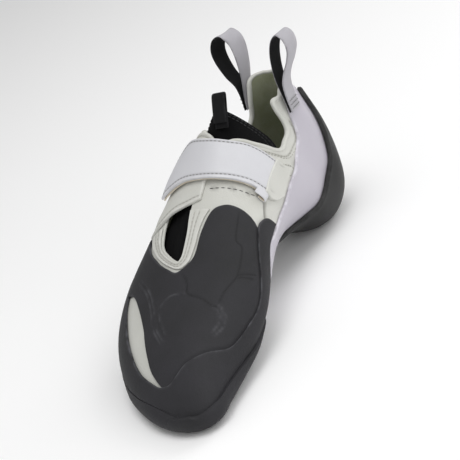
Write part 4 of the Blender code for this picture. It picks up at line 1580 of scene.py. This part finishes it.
@dataclass
class Inside:
    """What shows inside the shoe: the tongue with its tab, and the footbed."""

    gap: float = 0.0003
    wall: float = 0.0018
    tongue: float = 0.0026
    insole: float = 0.0020
    edge: Table = (
        (6.00, 80, 11.45, 57), (5.90, 88, 11.75, 67), (5.85, 97, 11.6, 78), (5.85, 108, 11.2, 90),
        (5.90, 120, 10.8, 102), (6.00, 132, 10.4, 114), (6.20, 144, 10.1, 124), (6.50, 150, 9.80, 130))
    insole_edge: Table = ((1.6, 26), (2.2, 46), (4.0, 54), (7.0, 52), (9.5, 44), (11.6, 34), (12.3, 22))
    # How much deeper the tongue lies under the flap, and the angles over which it gets there.
    tuck: float = 0.0014
    tuck_angles: tuple[float, float] = (108.0, 120.0)
    tongue_rows: tuple[float, float] = (0.955, 0.915)
    # The tab: where it is sewn on, its sizes, how it leans back and rises, and its path as shares of its
    # length and offsets from a straight line.
    tab_base: tuple[float, float] = (10.06, 84.0)
    tab_width: float = 0.009
    tab_length: float = 0.020
    tab_thickness: float = 0.0010
    tab_lean: tuple[float, float] = (0.55, 0.83)
    tab_path: Table = ((0, 0), (0.3, 0.0003), (0.7, 0.0005), (0.92, 0.0007), (1.0, 0.0014), (0.92, 0.0024),
                       (0.7, 0.0024), (0.35, 0.0020), (0.15, 0.0017))

    def drop(self, degrees: np.ndarray) -> np.ndarray:
        """Give the tongue's depth below the last's surface."""
        return -self.wall - 3 * self.gap - self.tuck * np.interp(degrees, self.tuck_angles, (0, 1))

    def build(self) -> None:
        """Build the tongue, its tab and the footbed."""
        tongue = Paired(self.edge)
        station, degrees, _ = tongue.grid(100, 120)
        top = self.drop(degrees)
        settle(Layer("tongue_panel", station, degrees, top - self.tongue, top, BLACK_CLOTH,
                     radius=0.0012).build(), "cloth", "tongue")
        seams = Stitching("tongue_stitches", BLACK_THREAD)
        for share in self.tongue_rows:
            row = np.linspace(0.3, len(self.edge) - 1.4, 80)
            at, turn, _ = tongue.at(row, share)
            seams.run(LAST.place(at, turn, self.drop(turn) + 0.0001), LAST.outward(at, turn))
        settle(seams.build(), "cloth")
        rows = smooth([(s, h - 90, 270 - h) for s, h in self.insole_edge], np.linspace(0, 6, 90))
        station, degrees = belt(rows, 60)
        high = -self.wall - 2 * self.gap
        settle(Layer("footbed_sheet", station, degrees, high - self.insole, high, FOOTBED,
                     radius=0.0008).build(), "footbed", "insole")
        self.build_tab()

    def build_tab(self) -> None:
        """Build the tab at the tongue's top edge."""
        base = LAST.place(*self.tab_base, -0.0004)
        lie, (lean, lift) = math.atan(LAST.slope), self.tab_lean
        rise = np.array([0.0, lean * math.cos(lie) + lift * math.sin(lie),
                         lift * math.cos(lie) - lean * math.sin(lie)])
        out = np.cross((1.0, 0.0, 0.0), rise)
        out *= -np.sign(out[1])
        knots = [base + rise * self.tab_length * share + out * away for share, away in self.tab_path]
        settle(ribbon("tongue_pull_tab", through(knots, 65), np.array([self.tab_width, 0, 0]),
                      self.tab_thickness, WEBBING_BACK), "cloth", "tongue_tab")


@dataclass
class PullLoops:
    """The two webbing loops at the back of the collar."""

    width: float = 0.0108
    thickness: float = 0.0011
    medial_y: float = 0.1935
    lateral_y: float = 0.2090
    # Each loop's twist in degrees and its base's lean onto the collar in millimetres.
    medial_turn_seat: tuple[float, float] = (12.0, 1.4)
    lateral_turn_seat: tuple[float, float] = (34.0, -1.7)
    # The bar tacks' places beside the collar, inner and outer, and their heights, in millimetres.
    tack_sides: tuple[float, float] = (22.45, -21.9)
    tack_heights: tuple[float, ...] = (88.0, 90.5, 93.0)
    # Each loop's path from base to base, across and up, in millimetres.
    medial: Table = (
        (21.4, 86), (20.6, 93), (19.6, 100), (19.2, 107), (20.4, 116), (23.0, 125), (27.0, 132),
        (31.2, 134.5), (34.6, 131), (34.6, 124.5), (31.0, 117.5), (26.2, 111), (22.6, 104), (22.2, 95),
        (23.0, 86))
    lateral: Table = (
        (-21.0, 86), (-19.6, 92), (-17.4, 98), (-14.6, 105), (-12.2, 114), (-10.8, 124), (-11.6, 131),
        (-16.0, 135.3), (-21.5, 133.5), (-25.6, 127.5), (-26.2, 120), (-24.0, 110), (-20.6, 102.5),
        (-21.2, 94), (-22.6, 86))

    def build_loop(self, name: str, node: str, table: Table, y: float, turn: float, seat: float,
                   faces: tuple[Finish, Finish]) -> None:
        """Build one loop along its path.

        Args:
            name: the object's name.
            node: the solid that it stands for.
            table: its path from base to base.
            y: where the path's middle lies along the foot.
            turn: angle in degrees by which the webbing twists towards its top.
            seat: how far the base leans onto the collar, in millimetres.
            faces: the finishes of its two faces.
        """
        base = [1 - min(max((z - 88) / 14, 0), 1) for _, z in table]
        own = np.array([((x - seat * b) / 1000, y, z / 1000) for (x, z), b in zip(table, base)])
        path = LAST.lay(through(own, 150))
        high = np.clip((path[:, 2] - path[:, 2].min()) / np.ptp(path[:, 2]) * 1.3 - 0.2, 0, 1)
        twist = np.radians(turn) * high ** 1.5
        width = self.width * np.column_stack([np.sin(twist), np.cos(twist), np.zeros(len(path))])
        settle(ribbon(name, path, width, self.thickness, *faces, 15), "webbing", node)

    def build(self) -> None:
        """Build both loops and the bar tacks that hold them."""
        self.build_loop("inner_pull_loop", "pull_loop_medial", self.medial, self.medial_y,
                        *self.medial_turn_seat, (WEBBING, WEBBING_BACK))
        self.build_loop("outer_pull_loop", "pull_loop_lateral", self.lateral, self.lateral_y,
                        *self.lateral_turn_seat, (WEBBING_BACK, WEBBING))
        tacks = Stitching("loop_tacks", GREY_THREAD, length=0.0016, pitch=0.0019, radius=0.00032)
        for x, y, way in ((self.tack_sides[0], self.medial_y, 1), (self.tack_sides[1], self.lateral_y, -1)):
            for z in self.tack_heights:
                across = np.array([(x / 1000, y + t * self.width * 0.42, z / 1000)
                                   for t in np.linspace(-1, 1, 9)])
                tacks.run(LAST.lay(across), np.tile((float(way), 0.0, 0.0), (9, 1)))
        settle(tacks.build(), "webbing")


# Stage

@dataclass(frozen=True)
class Studio:
    """The pale floor and the soft lights."""

    floor_size: float = 14.0
    floor_tone: float = 0.97
    floor_roughness: float = 0.9
    sky: float = 0.50
    # Name, place, size and power of each light.
    lights: tuple[tuple[str, tuple[float, float, float], float, float], ...] = (
        ("key", (0.20, -0.20, 1.20), 0.7, 5.5),
        ("fill", (0.95, -0.30, 0.60), 0.8, 3.2),
        ("back", (0.45, 0.95, 0.75), 0.6, 3.6))

    def build(self) -> None:
        """Build the floor, the lights and the even surroundings."""
        ground = bmesh.new()
        bmesh.ops.create_grid(ground, x_segments=4, y_segments=4, size=self.floor_size / 2)
        floor = finished("floor", ground, [])
        paint = bpy.data.materials.new("floor_paint")
        paint.use_nodes = True
        shader = paint.node_tree.nodes["Principled BSDF"]
        shader.inputs["Base Color"].default_value = (*[self.floor_tone] * 3, 1)
        shader.inputs["Roughness"].default_value = self.floor_roughness
        floor.data.materials.append(paint)
        world = bpy.data.worlds.new("surroundings")
        world.use_nodes = True
        world.node_tree.nodes["Background"].inputs[0].default_value = (1, 1, 1, 1)
        world.node_tree.nodes["Background"].inputs[1].default_value = self.sky
        bpy.context.scene.world = world
        bpy.context.scene.view_settings.view_transform = "Standard"
        for light in self.lights:
            self.light(*light)

    @staticmethod
    def light(name: str, place: tuple[float, float, float], size: float, power: float) -> None:
        """Add one square soft light that faces the shoe.

        Args:
            name: the light's name.
            place: where it stands.
            size: its side.
            power: its power in watts.
        """
        data = bpy.data.lights.new(name, "AREA")
        data.size, data.energy = size, power
        made = bpy.data.objects.new(name, data)
        made.location = place
        aim = Vector((0, 0, 0.05)) - Vector(place)
        made.rotation_euler = aim.to_track_quat("-Z", "Y").to_euler()
        bpy.context.scene.collection.objects.link(made)


def main() -> None:
    """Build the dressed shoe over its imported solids."""
    logging.basicConfig(level=logging.INFO, format="%(name)s: %(message)s")
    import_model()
    CAMERA.build()
    Upper().build()
    HeelRand().build()
    Rubber().build()
    Panels().build()
    Strap().build()
    Inside().build()
    PullLoops().build()
    Studio().build()


if __name__ == "__main__":
    main()
